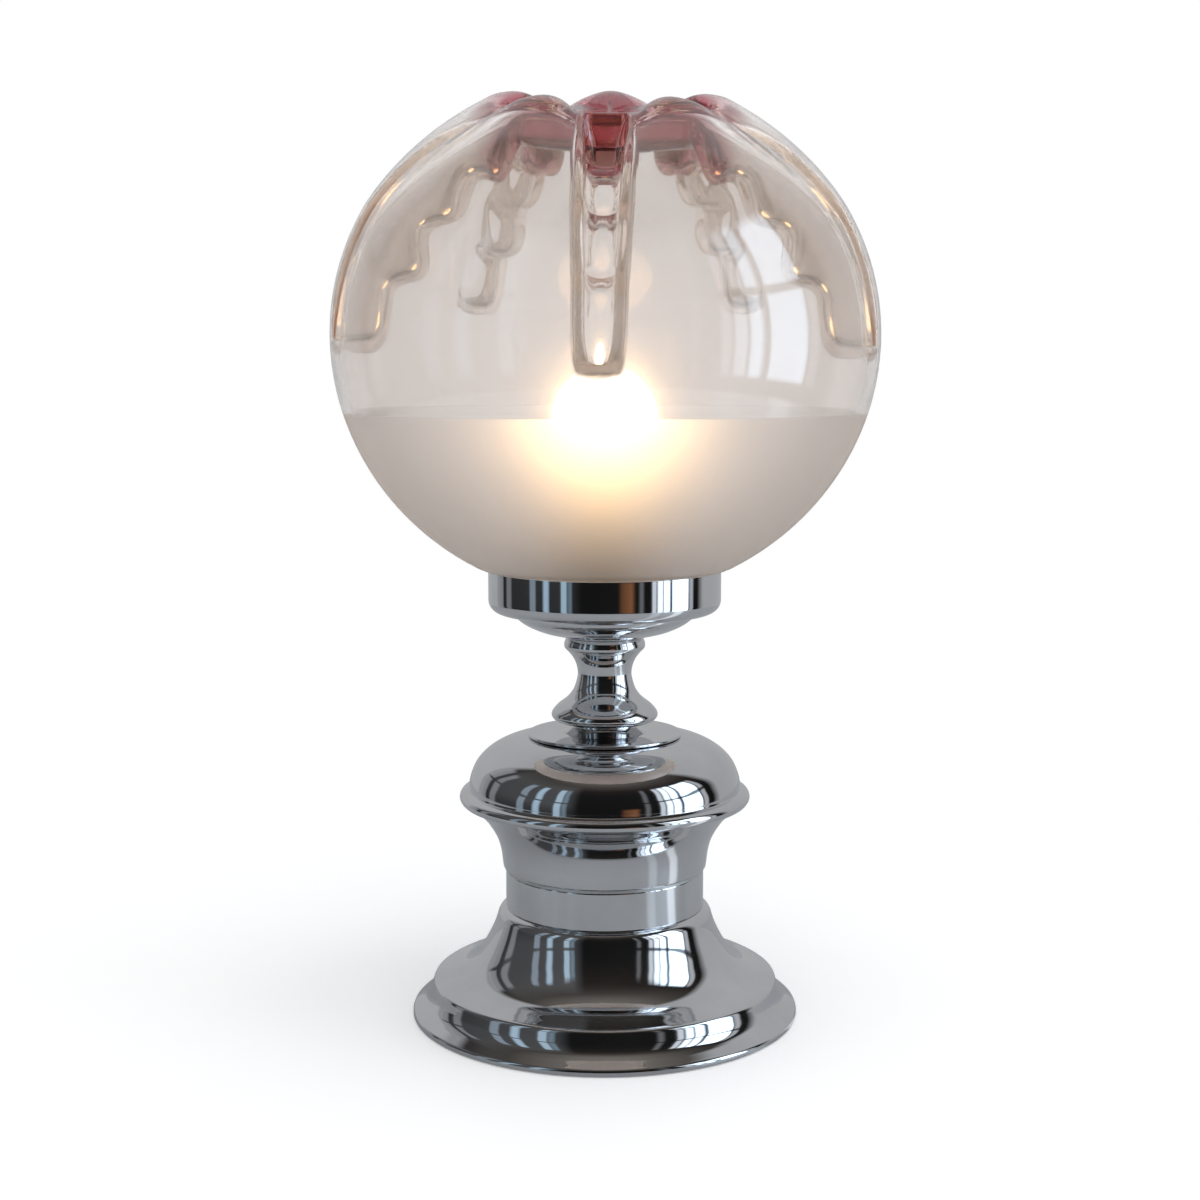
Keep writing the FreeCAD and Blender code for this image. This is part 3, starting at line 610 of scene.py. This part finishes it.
def lean_matrix(share):
    """A share of the crown's lean, forward and to the side."""
    return (Matrix.Rotation(math.radians(CROWN_SIDE_LEAN) * share, 3, "Y")
            @ Matrix.Rotation(math.radians(CROWN_LEAN) * share, 3, "X"))


def glass_sheet(surface, floor, anchors, side, spacing):
    """Every row of one side of the glass, from the crown's middle down to the neck, in millimetres."""
    top, normal, low, past = pleat_rows(surface, floor, anchors, spacing)
    rows = []
    for index in range(1, len(top)):
        ring = pleated_ring(top[index], normal[index], low[index], past[index], side)
        share = ease(1.0 - (past[index] - 10.0) / 150.0)
        turn = lean_matrix(share)
        shift = Vector((GLOBE_SHIFT * share, 0, GLOBE_CENTRE))
        rows.append([tuple(turn @ Vector(p) + shift) for p in ring])
    turn = lean_matrix(1.0)
    middle = tuple(turn @ Vector((0, 0, surface[0][1])) + Vector((GLOBE_SHIFT, 0, GLOBE_CENTRE)))
    return middle, rows


def side_of_globe(crown, side, start, stop):
    """The crown's line, carried on from the radius start to the depth stop below the globe's middle."""
    width, rise, drop = side
    first = math.degrees(math.asin(start / width))
    last = 180.0 - math.degrees(math.acos(stop / drop))
    line = through(crown + [(start, rise * math.cos(math.radians(first)))], 1.0)
    line += ellipse_side(width, rise, first, 90, 90)[1:]
    return line + ellipse_side(width, drop, 90, last, 80)[1:]


def tied(surface, floor, pairs):
    """Lengths along the surface and along a fold's floor that belong together, from pairs of points."""
    on_surface, on_floor = lengths_along(surface), lengths_along(floor)
    return [(on_surface[nearest(surface, a)], on_floor[nearest(floor, b)]) for a, b in pairs]


def outer_skin():
    """The middle point and the rows of the glass's outer side."""
    surface = side_of_globe([(0.0, 111.5), (10.0, 111.5), (20.0, 111.8), (28.0, 113.2), (36.0, 116.2),
                             (43.5, 119.3), (50.0, 120.4), (55.5, 120.0), (60.5, 118.9)], OUTER_SIDE, 66.0, 117.9)
    channel = offset_corners(FOLD_CORNERS, FOLD_WALL)
    rise = (113.0 - channel[1][1]) / (channel[0][1] - channel[1][1])
    hub_corner = (channel[1][0] + rise * (channel[0][0] - channel[1][0]), 113.0)
    floor = soften(stepped_line([(27.0, 112.9), hub_corner] + channel[1:], 3.5, 9.0), 5.0)
    floor = up_to_wall(floor, OUTER_SIDE[0], OUTER_SIDE[1])
    anchors = tied(surface, floor, [((27.0, 113.0), floor[0]), ((49.0, 120.4), (45.0, 110.0)),
                                    (floor[-1], floor[-1])])
    side = {"wall": 0.0, "lips": (5.0, 3.0), "floor_round": 8.0, "sag": 7.0, "sag_from": (22.0, 42.0)}
    return glass_sheet(surface, floor, anchors, side, ROW_SPACING)


def inner_skin():
    """The middle point and the rows of the glass's inner side, with a fin round each fold."""
    surface = side_of_globe([(0.0, 94.3), (20.0, 94.3), (40.5, 94.3), (44.9, 94.7), (47.9, 97.7), (48.5, 103.5),
                             (50.0, 109.6), (53.5, 113.0), (60.0, 113.4), (68.0, 110.6)], INNER_SIDE, 76.0, 113.7)
    floor = soften(stepped_line([(46.9, 96.8)] + FOLD_CORNERS[1:], 7.9, 4.6), 5.0)
    floor = up_to_wall(floor, INNER_SIDE[0], INNER_SIDE[1])
    anchors = tied(surface, floor, [((46.9, 96.0), floor[0]), ((62.0, 113.0), (63.0, 81.5)),
                                    (floor[-1], floor[-1])])
    side = {"wall": FOLD_WALL, "lips": (3.0, 3.0), "floor_round": 8.0, "sag": 7.0, "sag_from": (50.0, 58.0)}
    return glass_sheet(surface, floor, anchors, side, ROW_SPACING)


def neck_line(outer_reach, inner_reach):
    """The shoulder and the neck, from the foot of the outer side round to the foot of the inner one."""
    shoulder = through([(outer_reach - 1.6, SHOULDER + 0.7), (outer_reach - 3.8, SHOULDER), (57.5, SHOULDER),
                        (56.1, SHOULDER - 0.6), (55.5, SHOULDER - 2.0)], 0.8)
    rim = through([(55.5, NECK_BOTTOM + 1.6), (54.9, NECK_BOTTOM + 0.4), (53.4, NECK_BOTTOM),
                   (51.9, NECK_BOTTOM + 0.4), (51.3, NECK_BOTTOM + 1.6)], 0.5)
    return_line = through([(51.3, SHOULDER + 2.2), (51.9, SHOULDER + 3.6), (53.3, SHOULDER + 4.2),
                           (inner_reach - 3.0, SHOULDER + 4.2), (inner_reach - 1.2, SHOULDER + 4.8)], 0.8)
    return shoulder + [(55.5, 230.0), (55.5, 224.0)] + rim + [(51.3, 224.0), (51.3, 230.0)] + return_line


def make_globe(material):
    outer_middle, outer = outer_skin()
    inner_middle, inner = inner_skin()
    turns = [math.atan2(x, -y) for x, y, z in outer[-1]]
    neck = neck_line(math.hypot(*outer[-1][0][:2]), math.hypot(*inner[-1][0][:2]))
    rows = outer + [[(r * math.sin(a), -r * math.cos(a), z) for a in turns] for r, z in neck] + inner[::-1]
    columns = len(turns)
    clear_selection()
    bpy.ops.mesh.primitive_cylinder_add(vertices=columns, radius=0.14, depth=0.2, end_fill_type="NOTHING",
                                        location=(0, 0, 0))
    piece = bpy.context.object
    vertices = [outer_middle] + [p for row in rows for p in row] + [inner_middle]
    last = len(vertices) - 1
    faces = []
    for c in range(columns):
        faces.append((0, 1 + c, 1 + (c + 1) % columns))
        base = 1 + (len(rows) - 1) * columns
        faces.append((last, base + (c + 1) % columns, base + c))
    for r in range(len(rows) - 1):
        a, b = 1 + r * columns, 1 + (r + 1) * columns
        for c in range(columns):
            d = (c + 1) % columns
            faces.append((a + c, b + c, b + d, a + d))
    piece.data.clear_geometry()
    piece.data.from_pydata([(x * MM, y * MM, z * MM) for x, y, z in vertices], [], faces)
    piece.data.update()
    bpy.context.view_layer.objects.active = piece
    piece.select_set(True)
    bpy.ops.object.mode_set(mode="EDIT")
    bpy.ops.mesh.select_all(action="SELECT")
    bpy.ops.mesh.normals_make_consistent(inside=False)
    bpy.ops.object.mode_set(mode="OBJECT")
    return finish_piece(piece, "globe_glass", "globe_body", ["globe"], material, 180)


def blown_glass():
    material, tree, bsdf = shader("blown_glass")
    bsdf.inputs["IOR"].default_value = 1.5
    bsdf.inputs["Transmission Weight"].default_value = 1.0
    bsdf.inputs["Coat IOR"].default_value = 1.85
    bsdf.inputs["Coat Roughness"].default_value = 0.02
    place = node(tree, "ShaderNodeTexCoord").outputs["Object"]

    # Where the crown is rose, about the crown's own axis, and where the underside of its thick glass gets painted
    # shade: a dark brown that stands in for the light lost through the thick rose glass and the layers seen through
    # it
    crown = node(tree, "ShaderNodeMapping", vector_type="TEXTURE")
    crown.inputs["Location"].default_value = (GLOBE_SHIFT * MM, 0, GLOBE_CENTRE * MM)
    crown.inputs["Rotation"].default_value = (math.radians(CROWN_LEAN), math.radians(CROWN_SIDE_LEAN), 0)
    tree.links.new(place, crown.inputs["Vector"])
    x, y, rise = split_up(tree, crown.outputs["Vector"])
    plan = node(tree, "ShaderNodeCombineXYZ")
    tree.links.new(x, plan.inputs["X"])
    tree.links.new(y, plan.inputs["Y"])
    reach = length_of(tree, plan.outputs["Vector"])
    streaks = worked(tree, "MULTIPLY_ADD", noise(tree, 30.0, 3.0, 0.6), 0.022, reach)
    high = product(tree, span(tree, rise, 0.068, 0.080, 0.0, 1.0), span(tree, rise, 0.117, 0.127, 1.0, 0.45))
    rose = product(tree, span(tree, streaks, 0.060, 0.082, 1.0, 0.0), high)
    thick_glass_painted_shade = product(tree, span(tree, rise, 0.0985, 0.1005, 1.0, 0.0),
                        span(tree, reach, 0.0505, 0.0525, 1.0, 0.0))

    # The etched lower half, and a faint veil of fine specks over the clear one
    height = split_up(tree, place)[2]
    frosted = span(tree, height, FROST_LINE * MM - 0.0002, FROST_LINE * MM + 0.0002, 1.0, 0.0)
    specks = node(tree, "ShaderNodeTexWhiteNoise", noise_dimensions="3D")
    tree.links.new(place, specks.inputs["Vector"])
    veil = product(tree, span(tree, specks.outputs["Value"], 0.0, 0.24, 1.0, 0.0),
                   span(tree, height, 0.405, 0.440, 1.0, 0.3))
    rough = worked(tree, "MAXIMUM", span(tree, frosted, 0, 1, 0.015, 0.52), span(tree, veil, 0, 1, 0.0, 0.62))
    tree.links.new(rough, bsdf.inputs["Roughness"])
    tree.links.new(span(tree, frosted, 0, 1, 0.6, 0.0), bsdf.inputs["Coat Weight"])

    # Only the outer side of the etched half is tinted, so that the wall's edge is no paler than its middle
    round_globe = node(tree, "ShaderNodeMapping")
    width, _, drop = OUTER_SIDE
    round_globe.inputs["Location"].default_value = (0, 0, -GLOBE_CENTRE / drop)
    round_globe.inputs["Scale"].default_value = (1 / (width * MM), 1 / (width * MM), 1 / (drop * MM))
    tree.links.new(place, round_globe.inputs["Vector"])
    outer_side = span(tree, length_of(tree, round_globe.outputs["Vector"]), 0.982, 0.988, 0.0, 1.0)
    clear = mixed(tree, rose, (0.925, 0.885, 0.85), (0.43, 0.10, 0.13))
    # Painted shade: dark brown on the underside of the crown's thick glass, which itself is rose
    clear = mixed(tree, thick_glass_painted_shade, clear, (0.13, 0.05, 0.03))
    etched = mixed(tree, outer_side, (0.98, 0.97, 0.96), (0.985, 0.92, 0.865))
    glass = mixed(tree, frosted, clear, etched)

    # Painted glow: where a ray has bounced more than three times inside the glass, it stops, and the glass gives off
    # a pale light of its own, rose in the crown, in place of the light that would bounce along inside the wall and
    # leave it
    ray = node(tree, "ShaderNodeLightPath")
    painted_glow_past_bounces = worked(tree, "GREATER_THAN", ray.outputs["Glossy Depth"], 3.5)
    tree.links.new(mixed(tree, painted_glow_past_bounces, glass, (0.0, 0.0, 0.0)), bsdf.inputs["Base Color"])
    # Painted light: the colour the glass glows with where a ray ends after many bounces
    tree.links.new(mixed(tree, rose, (0.34, 0.32, 0.30), (0.13, 0.03, 0.038)), bsdf.inputs["Emission Color"])
    tree.links.new(painted_glow_past_bounces, bsdf.inputs["Emission Strength"])
    bumped(tree, bsdf, noise(tree, 14.0, 2.0, 0.4), 0.0006, 0.25)
    tint = node(tree, "ShaderNodeVolumeAbsorption")
    tint.inputs["Color"].default_value = (0.80, 0.52, 0.30, 1)
    tint.inputs["Density"].default_value = 8.0
    tree.links.new(tint.outputs["Volume"], tree.nodes["Material Output"].inputs["Volume"])
    return material


make_globe(blown_glass())

# The bulb


def lit_glass():
    material, tree, bsdf = shader("lit_pearl_glass")
    bsdf.inputs["Base Color"].default_value = (1.0, 0.93, 0.84, 1)
    bsdf.inputs["Roughness"].default_value = 0.3
    bsdf.inputs["Emission Color"].default_value = (1.0, 0.66, 0.33, 1)
    height = split_up(tree, node(tree, "ShaderNodeTexCoord").outputs["Object"])[2]
    glow = product(tree, span(tree, height, 0.268, 0.300, 1.0, 3.6), span(tree, height, 0.306, 0.324, 1.0, 3.0))

    # Mirror images of the bulb are dimmed, and so is the bare bulb, which then keeps its form
    ray = node(tree, "ShaderNodeLightPath")
    reflected = worked(tree, "SUBTRACT", ray.outputs["Is Glossy Ray"], ray.outputs["Is Transmission Ray"], clamp=True)
    mirrored = product(tree, span(tree, reflected, 0, 1, 1.0, 0.15),
                       span(tree, ray.outputs["Glossy Depth"], 0.2, 0.8, 1.0, 0.35))
    seen = product(tree, mirrored, span(tree, ray.outputs["Is Camera Ray"], 0, 1, 1.0, 0.05))
    tree.links.new(product(tree, glow, seen), bsdf.inputs["Emission Strength"])
    return material


BULB_RADIUS = 27.5
BULB_WALL = 0.8
BULB_CENTRE = 314.05


def make_bulb():
    neck = through([(12.5, 261.55), (12.5, 270.5), (13.2, 279.0), (16.4, 287.5), (20.2, 294.2), (23.8, 300.3)], 1.0)
    outside = neck + [(BULB_RADIUS * math.cos(a), BULB_CENTRE + BULB_RADIUS * math.sin(a))
                      for a in np.radians(np.linspace(-30, 90, 40))][1:]
    shrink = (BULB_RADIUS - BULB_WALL) / BULB_RADIUS
    inner = [(r - BULB_WALL if r > 1 else 0.0, z if z < 300 else BULB_CENTRE + (z - BULB_CENTRE) * shrink)
             for r, z in outside]
    outline = outside + inner[::-1] + [outside[0]]
    return finish_piece(spin_on_lathe(outline, 96, 0), "bulb_glass", "bulb", ["bulb_envelope"], lit_glass(), 60)


make_bulb()

# Plain finishes for the pieces that lie inside


def plain_finish(name, colour_a, colour_b, metallic, rough, scale, bump):
    material, tree, bsdf = shader(name)
    bsdf.inputs["Metallic"].default_value = metallic
    grain = noise(tree, scale, 6.0, 0.6)
    tree.links.new(mixed(tree, span(tree, grain, 0.3, 0.7, 0, 1), colour_a, colour_b), bsdf.inputs["Base Color"])
    tree.links.new(span(tree, grain, 0.3, 0.7, rough * 0.8, min(1.0, rough * 1.2)), bsdf.inputs["Roughness"])
    bumped(tree, bsdf, grain, bump)
    return material


finishes = {
    "zinc": plain_finish("zinc_plate", (0.50, 0.52, 0.53), (0.66, 0.67, 0.66), 1.0, 0.38, 160.0, 0.00003),
    "iron": plain_finish("sand_cast_iron", (0.035, 0.033, 0.032), (0.085, 0.078, 0.072), 0.6, 0.72, 240.0, 0.0003),
    "felt": plain_finish("pressed_felt", (0.025, 0.075, 0.040), (0.050, 0.120, 0.070), 0.0, 0.95, 900.0, 0.0003),
    "board": plain_finish("fibreboard", (0.22, 0.15, 0.09), (0.34, 0.25, 0.16), 0.0, 0.8, 500.0, 0.0001),
    "black": plain_finish("black_plastic", (0.018, 0.018, 0.018), (0.03, 0.03, 0.03), 0.0, 0.45, 300.0, 0.00003),
    "rubber": plain_finish("seal_rubber", (0.55, 0.53, 0.49), (0.66, 0.64, 0.60), 0.0, 0.6, 200.0, 0.00003),
    "brass": plain_finish("drawn_brass", (0.60, 0.42, 0.17), (0.74, 0.55, 0.26), 1.0, 0.28, 120.0, 0.00002),
    "porcelain": plain_finish("glazed_porcelain", (0.80, 0.79, 0.74), (0.88, 0.87, 0.83), 0.0, 0.14, 60.0, 0.00005),
    "aluminium": plain_finish("bulb_cap_metal", (0.60, 0.60, 0.61), (0.72, 0.72, 0.72), 1.0, 0.3, 200.0, 0.00002),
    "black_glass": plain_finish("black_glass", (0.01, 0.01, 0.012), (0.02, 0.02, 0.022), 0.0, 0.12, 60.0, 0.00002),
    "tungsten": plain_finish("filament_wire", (0.30, 0.29, 0.28), (0.40, 0.39, 0.38), 1.0, 0.35, 900.0, 0.00001),
}
wearing = {
    "zinc": ["bottom_nut", "bottom_washer", "column_disc", "through_rod", "gallery_nut", "gallery_washer",
             "holder_lock_screw"],
    "iron": ["ballast_weight"],
    "felt": ["felt_pad"],
    "board": ["bottom_board"],
    "black": ["cord_bushing"],
    "rubber": ["globe_gasket"],
    "brass": ["holder_cap", "holder_shell", "thread_shell", "centre_contact", "terminal_screws"],
    "porcelain": ["holder_insert"],
    "aluminium": ["bulb_cap", "bulb_tip"],
    "black_glass": ["bulb_insulator"],
    "tungsten": ["bulb_filament", "filament_wires", "bulb_stem"],
}
for finish, names in wearing.items():
    for name in names:
        piece = nodes[name]
        piece.data.materials.clear()
        piece.data.materials.append(finishes[finish])

# The studio: floor, room, windows and camera


def bands(tree, value, low, high, stops):
    """A colour that changes along a value: each stop is (value, grey or colour)."""
    ramp = node(tree, "ShaderNodeValToRGB")
    elements = ramp.color_ramp.elements
    while len(elements) < len(stops):
        elements.new(0.5)
    for element, (position, colour) in zip(elements, stops):
        element.position = (position - low) / (high - low)
        element.color = (*colour, 1) if isinstance(colour, tuple) else (colour, colour * 1.015, colour * 1.04, 1)
    tree.links.new(span(tree, value, low, high, 0, 1), ramp.inputs["Fac"])
    return ramp.outputs["Color"]


def round_about(tree, degrees, stops):
    return bands(tree, degrees, -180, 180, stops)


def up_and_down(tree, degrees, stops):
    return bands(tree, degrees, -90, 90, stops)


def panes(edges):
    """Bright bands with soft sides on a dark wall, from (start, end, colour) in degrees."""
    stops = []
    for start, end, colour in edges:
        stops += [(start - 0.7, 0.0), (start + 0.7, colour), (end - 0.7, colour), (end + 0.7, 0.0)]
    return stops


def make_floor():
    """A pale table that fades into the backdrop. Polished metal sees a grey one with two streaks of daylight."""
    clear_selection()
    bpy.ops.mesh.primitive_circle_add(vertices=96, radius=4.0, fill_type="TRIFAN", location=(0, 0, 0))
    floor = bpy.context.object
    floor.name = "floor"
    material, tree, bsdf = shader("pale_floor")
    bsdf.inputs["Roughness"].default_value = 0.4
    bsdf.inputs["Specular IOR Level"].default_value = 0.2
    bsdf.inputs["Emission Color"].default_value = (1, 1, 1, 1)
    ray = node(tree, "ShaderNodeLightPath")
    place = node(tree, "ShaderNodeTexCoord").outputs["Object"]
    x, y, _ = split_up(tree, place)
    table, soft_streak, streak = (0.40, 0.41, 0.425), (0.58, 0.61, 0.64), (0.93, 0.96, 0.99)
    daylit = round_about(tree, bearing(tree, x, y), [
        (-180, table), (44, table), (47, soft_streak), (53, soft_streak), (56, table),
        (69, table), (72, streak), (79, streak), (83, table), (180, table)])
    tree.links.new(mixed(tree, ray.outputs["Is Glossy Ray"], (0.88, 0.88, 0.88), daylit), bsdf.inputs["Base Color"])
    tree.links.new(span(tree, ray.outputs["Is Camera Ray"], 0, 1, 0.0, 0.25), bsdf.inputs["Emission Strength"])
    reach = length_of(tree, place)
    fade = node(tree, "ShaderNodeMix")
    tree.links.new(ray.outputs["Is Glossy Ray"], fade.inputs["Factor"])
    tree.links.new(span(tree, reach, 0.16, 0.60, 0.0, 1.0), fade.inputs["A"])
    tree.links.new(span(tree, reach, 0.95, 1.05, 0.0, 1.0), fade.inputs["B"])
    clear = node(tree, "ShaderNodeBsdfTransparent")
    faded = mixed_shaders(tree, fade.outputs["Result"], bsdf.outputs[0], clear.outputs[0])
    tree.links.new(faded, tree.nodes["Material Output"].inputs["Surface"])
    floor.data.materials.append(material)


def glow_of(tree, across, height):
    """A patch of light: how bright across, times how bright up and down."""
    return mixed(tree, 1.0, across, height, "MULTIPLY")


def added(tree, a, b):
    return mixed(tree, 1.0, a, b, "ADD")


def seen_by_metal(tree, around, up):
    """A dim room: tall windows on both sides, a warm spot at the right, and a grey wall behind the lamp."""
    walls = up_and_down(tree, up, [
        (-90, 0.05), (-25, 0.05), (-12, 0.008), (30, 0.010), (45, (0.022, 0.018, 0.016)),
        (60, (0.07, 0.064, 0.058)), (75, (0.17, 0.155, 0.14)), (90, (0.26, 0.24, 0.22))])
    daylight = (2.4, 2.9, 3.4)
    left_windows = round_about(tree, around, panes([
        (-128, -118, 0.26), (-112, -104, 0.18), (-78, -71, (0.20, 0.25, 0.30)), (-62, -56, (0.38, 0.52, 0.64)),
        (-43, -37, (0.38, 0.52, 0.62)), (-35.5, -32, (0.13, 0.20, 0.25))]))
    right_windows = round_about(tree, around, panes([
        (34, 38, 0.15), (47, 51.5, (0.75, 0.8, 0.86)), (53, 58.5, (1.5, 1.7, 1.9)), (60, 66, daylight),
        (69.5, 89, daylight), (91, 96, 0.5)]))
    opening = up_and_down(tree, up, [
        (-90, 0.0), (-15, 0.0), (-13, 1.0), (16, 1.0), (17, 0.1), (19, 0.1), (20, 1.0), (40, 1.0), (44, 0.0),
        (90, 0.0)])
    lit = glow_of(tree, added(tree, left_windows, right_windows), opening)
    far_side = round_about(tree, around, [(-125, 0.0), (-110, 0.06), (-35, 0.08), (-22, 0.0)])
    far_wall = up_and_down(tree, up, [(-16, 0.0), (-4, 0.5), (12, 1.0), (45, 1.0), (60, 0.0)])
    lit = added(tree, lit, glow_of(tree, far_side, far_wall))
    ember = round_about(tree, around, [(13, 0.0), (17, (0.13, 0.05, 0.02)), (26, (0.24, 0.095, 0.04)), (30, 0.0)])
    low_light = up_and_down(tree, up, [(-13, 0.0), (-10, 1.0), (2, 1.0), (6, 0.0)])
    lit = added(tree, lit, glow_of(tree, ember, low_light))
    backdrop = round_about(tree, around, [(-180, 1.0), (-132, 1.0), (-122, 0.0), (103, 0.0), (112, 1.0), (180, 1.0)])
    pale = up_and_down(tree, up, [(-90, 0.40), (-10, 0.44), (35, 0.47), (90, 0.38)])
    return mixed(tree, backdrop, added(tree, walls, lit), pale)


def seen_through_glass(tree, around, up):
    """White behind the lamp, and greyer to the sides and overhead, which draws the edges of the glass."""
    wide = round_about(tree, around, [(-180, 1.0), (-125, 1.0), (-100, 0.55), (100, 0.55), (125, 1.0), (180, 1.0)])
    tall = up_and_down(tree, up, [(-90, 0.55), (-55, 0.6), (-35, 1.0), (40, 1.0), (62, 0.38), (90, 0.36)])
    return glow_of(tree, wide, tall)


def background(tree, colour, strength=1.0):
    surface = node(tree, "ShaderNodeBackground")
    feed(tree, surface.inputs["Color"], colour)
    surface.inputs["Strength"].default_value = strength
    return surface.outputs[0]


def make_room():
    """White for the camera, a bright room for the glass, a dim one for the metal, and soft light for the rest."""
    world = bpy.data.worlds.new("studio")
    bpy.context.scene.world = world
    world.use_nodes = True
    tree = world.node_tree
    tree.nodes.clear()
    output = node(tree, "ShaderNodeOutputWorld")
    x, y, z = split_up(tree, node(tree, "ShaderNodeTexCoord").outputs["Generated"])
    around, up = bearing(tree, x, y), worked(tree, "DEGREES", worked(tree, "ARCSINE", z))
    ray = node(tree, "ShaderNodeLightPath")
    in_view = mixed(tree, ray.outputs["Is Camera Ray"], seen_through_glass(tree, around, up), (1.0, 1.0, 1.0))
    seen = worked(tree, "MAXIMUM", ray.outputs["Is Camera Ray"], ray.outputs["Is Transmission Ray"])
    mirrored_or_soft = mixed_shaders(tree, ray.outputs["Is Glossy Ray"], background(tree, (0.96, 0.98, 1.0), 0.75),
                                     background(tree, seen_by_metal(tree, around, up)))
    tree.links.new(mixed_shaders(tree, seen, mirrored_or_soft, background(tree, in_view)), output.inputs["Surface"])


def add_window(name, place, aim, width, height, power, colour):
    lamp = bpy.data.lights.new(name, "AREA")
    lamp.shape = "RECTANGLE"
    lamp.size = width
    lamp.size_y = height
    lamp.energy = power
    lamp.color = colour
    window = bpy.data.objects.new(name, lamp)
    bpy.context.scene.collection.objects.link(window)
    window.location = place
    window.rotation_euler = (Vector(aim) - Vector(place)).to_track_quat("-Z", "Y").to_euler()
    window.visible_glossy = False
    window.visible_transmission = False


def make_windows():
    aim = (0, 0, 0.25)
    watts = 1.3 / 0.11
    for index, (y, width) in enumerate([(-0.72, 0.20), (-0.45, 0.22), (-0.08, 0.13)]):
        for bottom, height in ((0.15, 0.50), (0.70, 0.62)):
            add_window("right_window_%d_%d" % (index, bottom * 100), (1.9, y, bottom + height / 2),
                       (0, y * 0.4, 0.35), width, height, watts * width * height, (0.72, 0.86, 1.0))
    for index, (y, width) in enumerate([(-0.62, 0.10), (-0.42, 0.09), (0.15, 0.12)]):
        add_window("left_window_%d" % index, (-2.1, y, 0.65), aim, width, 0.75, 0.8, (0.80, 0.90, 1.0))
    add_window("top_light", (0.3, -0.4, 2.4), aim, 1.4, 1.4, 14.0, (1.0, 0.98, 0.95))


def make_camera():
    camera = bpy.data.cameras.new("camera")
    camera.sensor_width = 36.0
    camera.lens = 56.1
    camera.shift_x = -0.0039
    holder = bpy.data.objects.new("camera", camera)
    bpy.context.scene.collection.objects.link(holder)
    holder.location = (0, -0.9683, 0.3421)
    holder.rotation_euler = (math.radians(90 - 7.2), 0, 0)
    bpy.context.scene.camera = holder


make_floor()
make_room()
make_windows()
make_camera()
bpy.context.scene.view_settings.view_transform = "Standard"
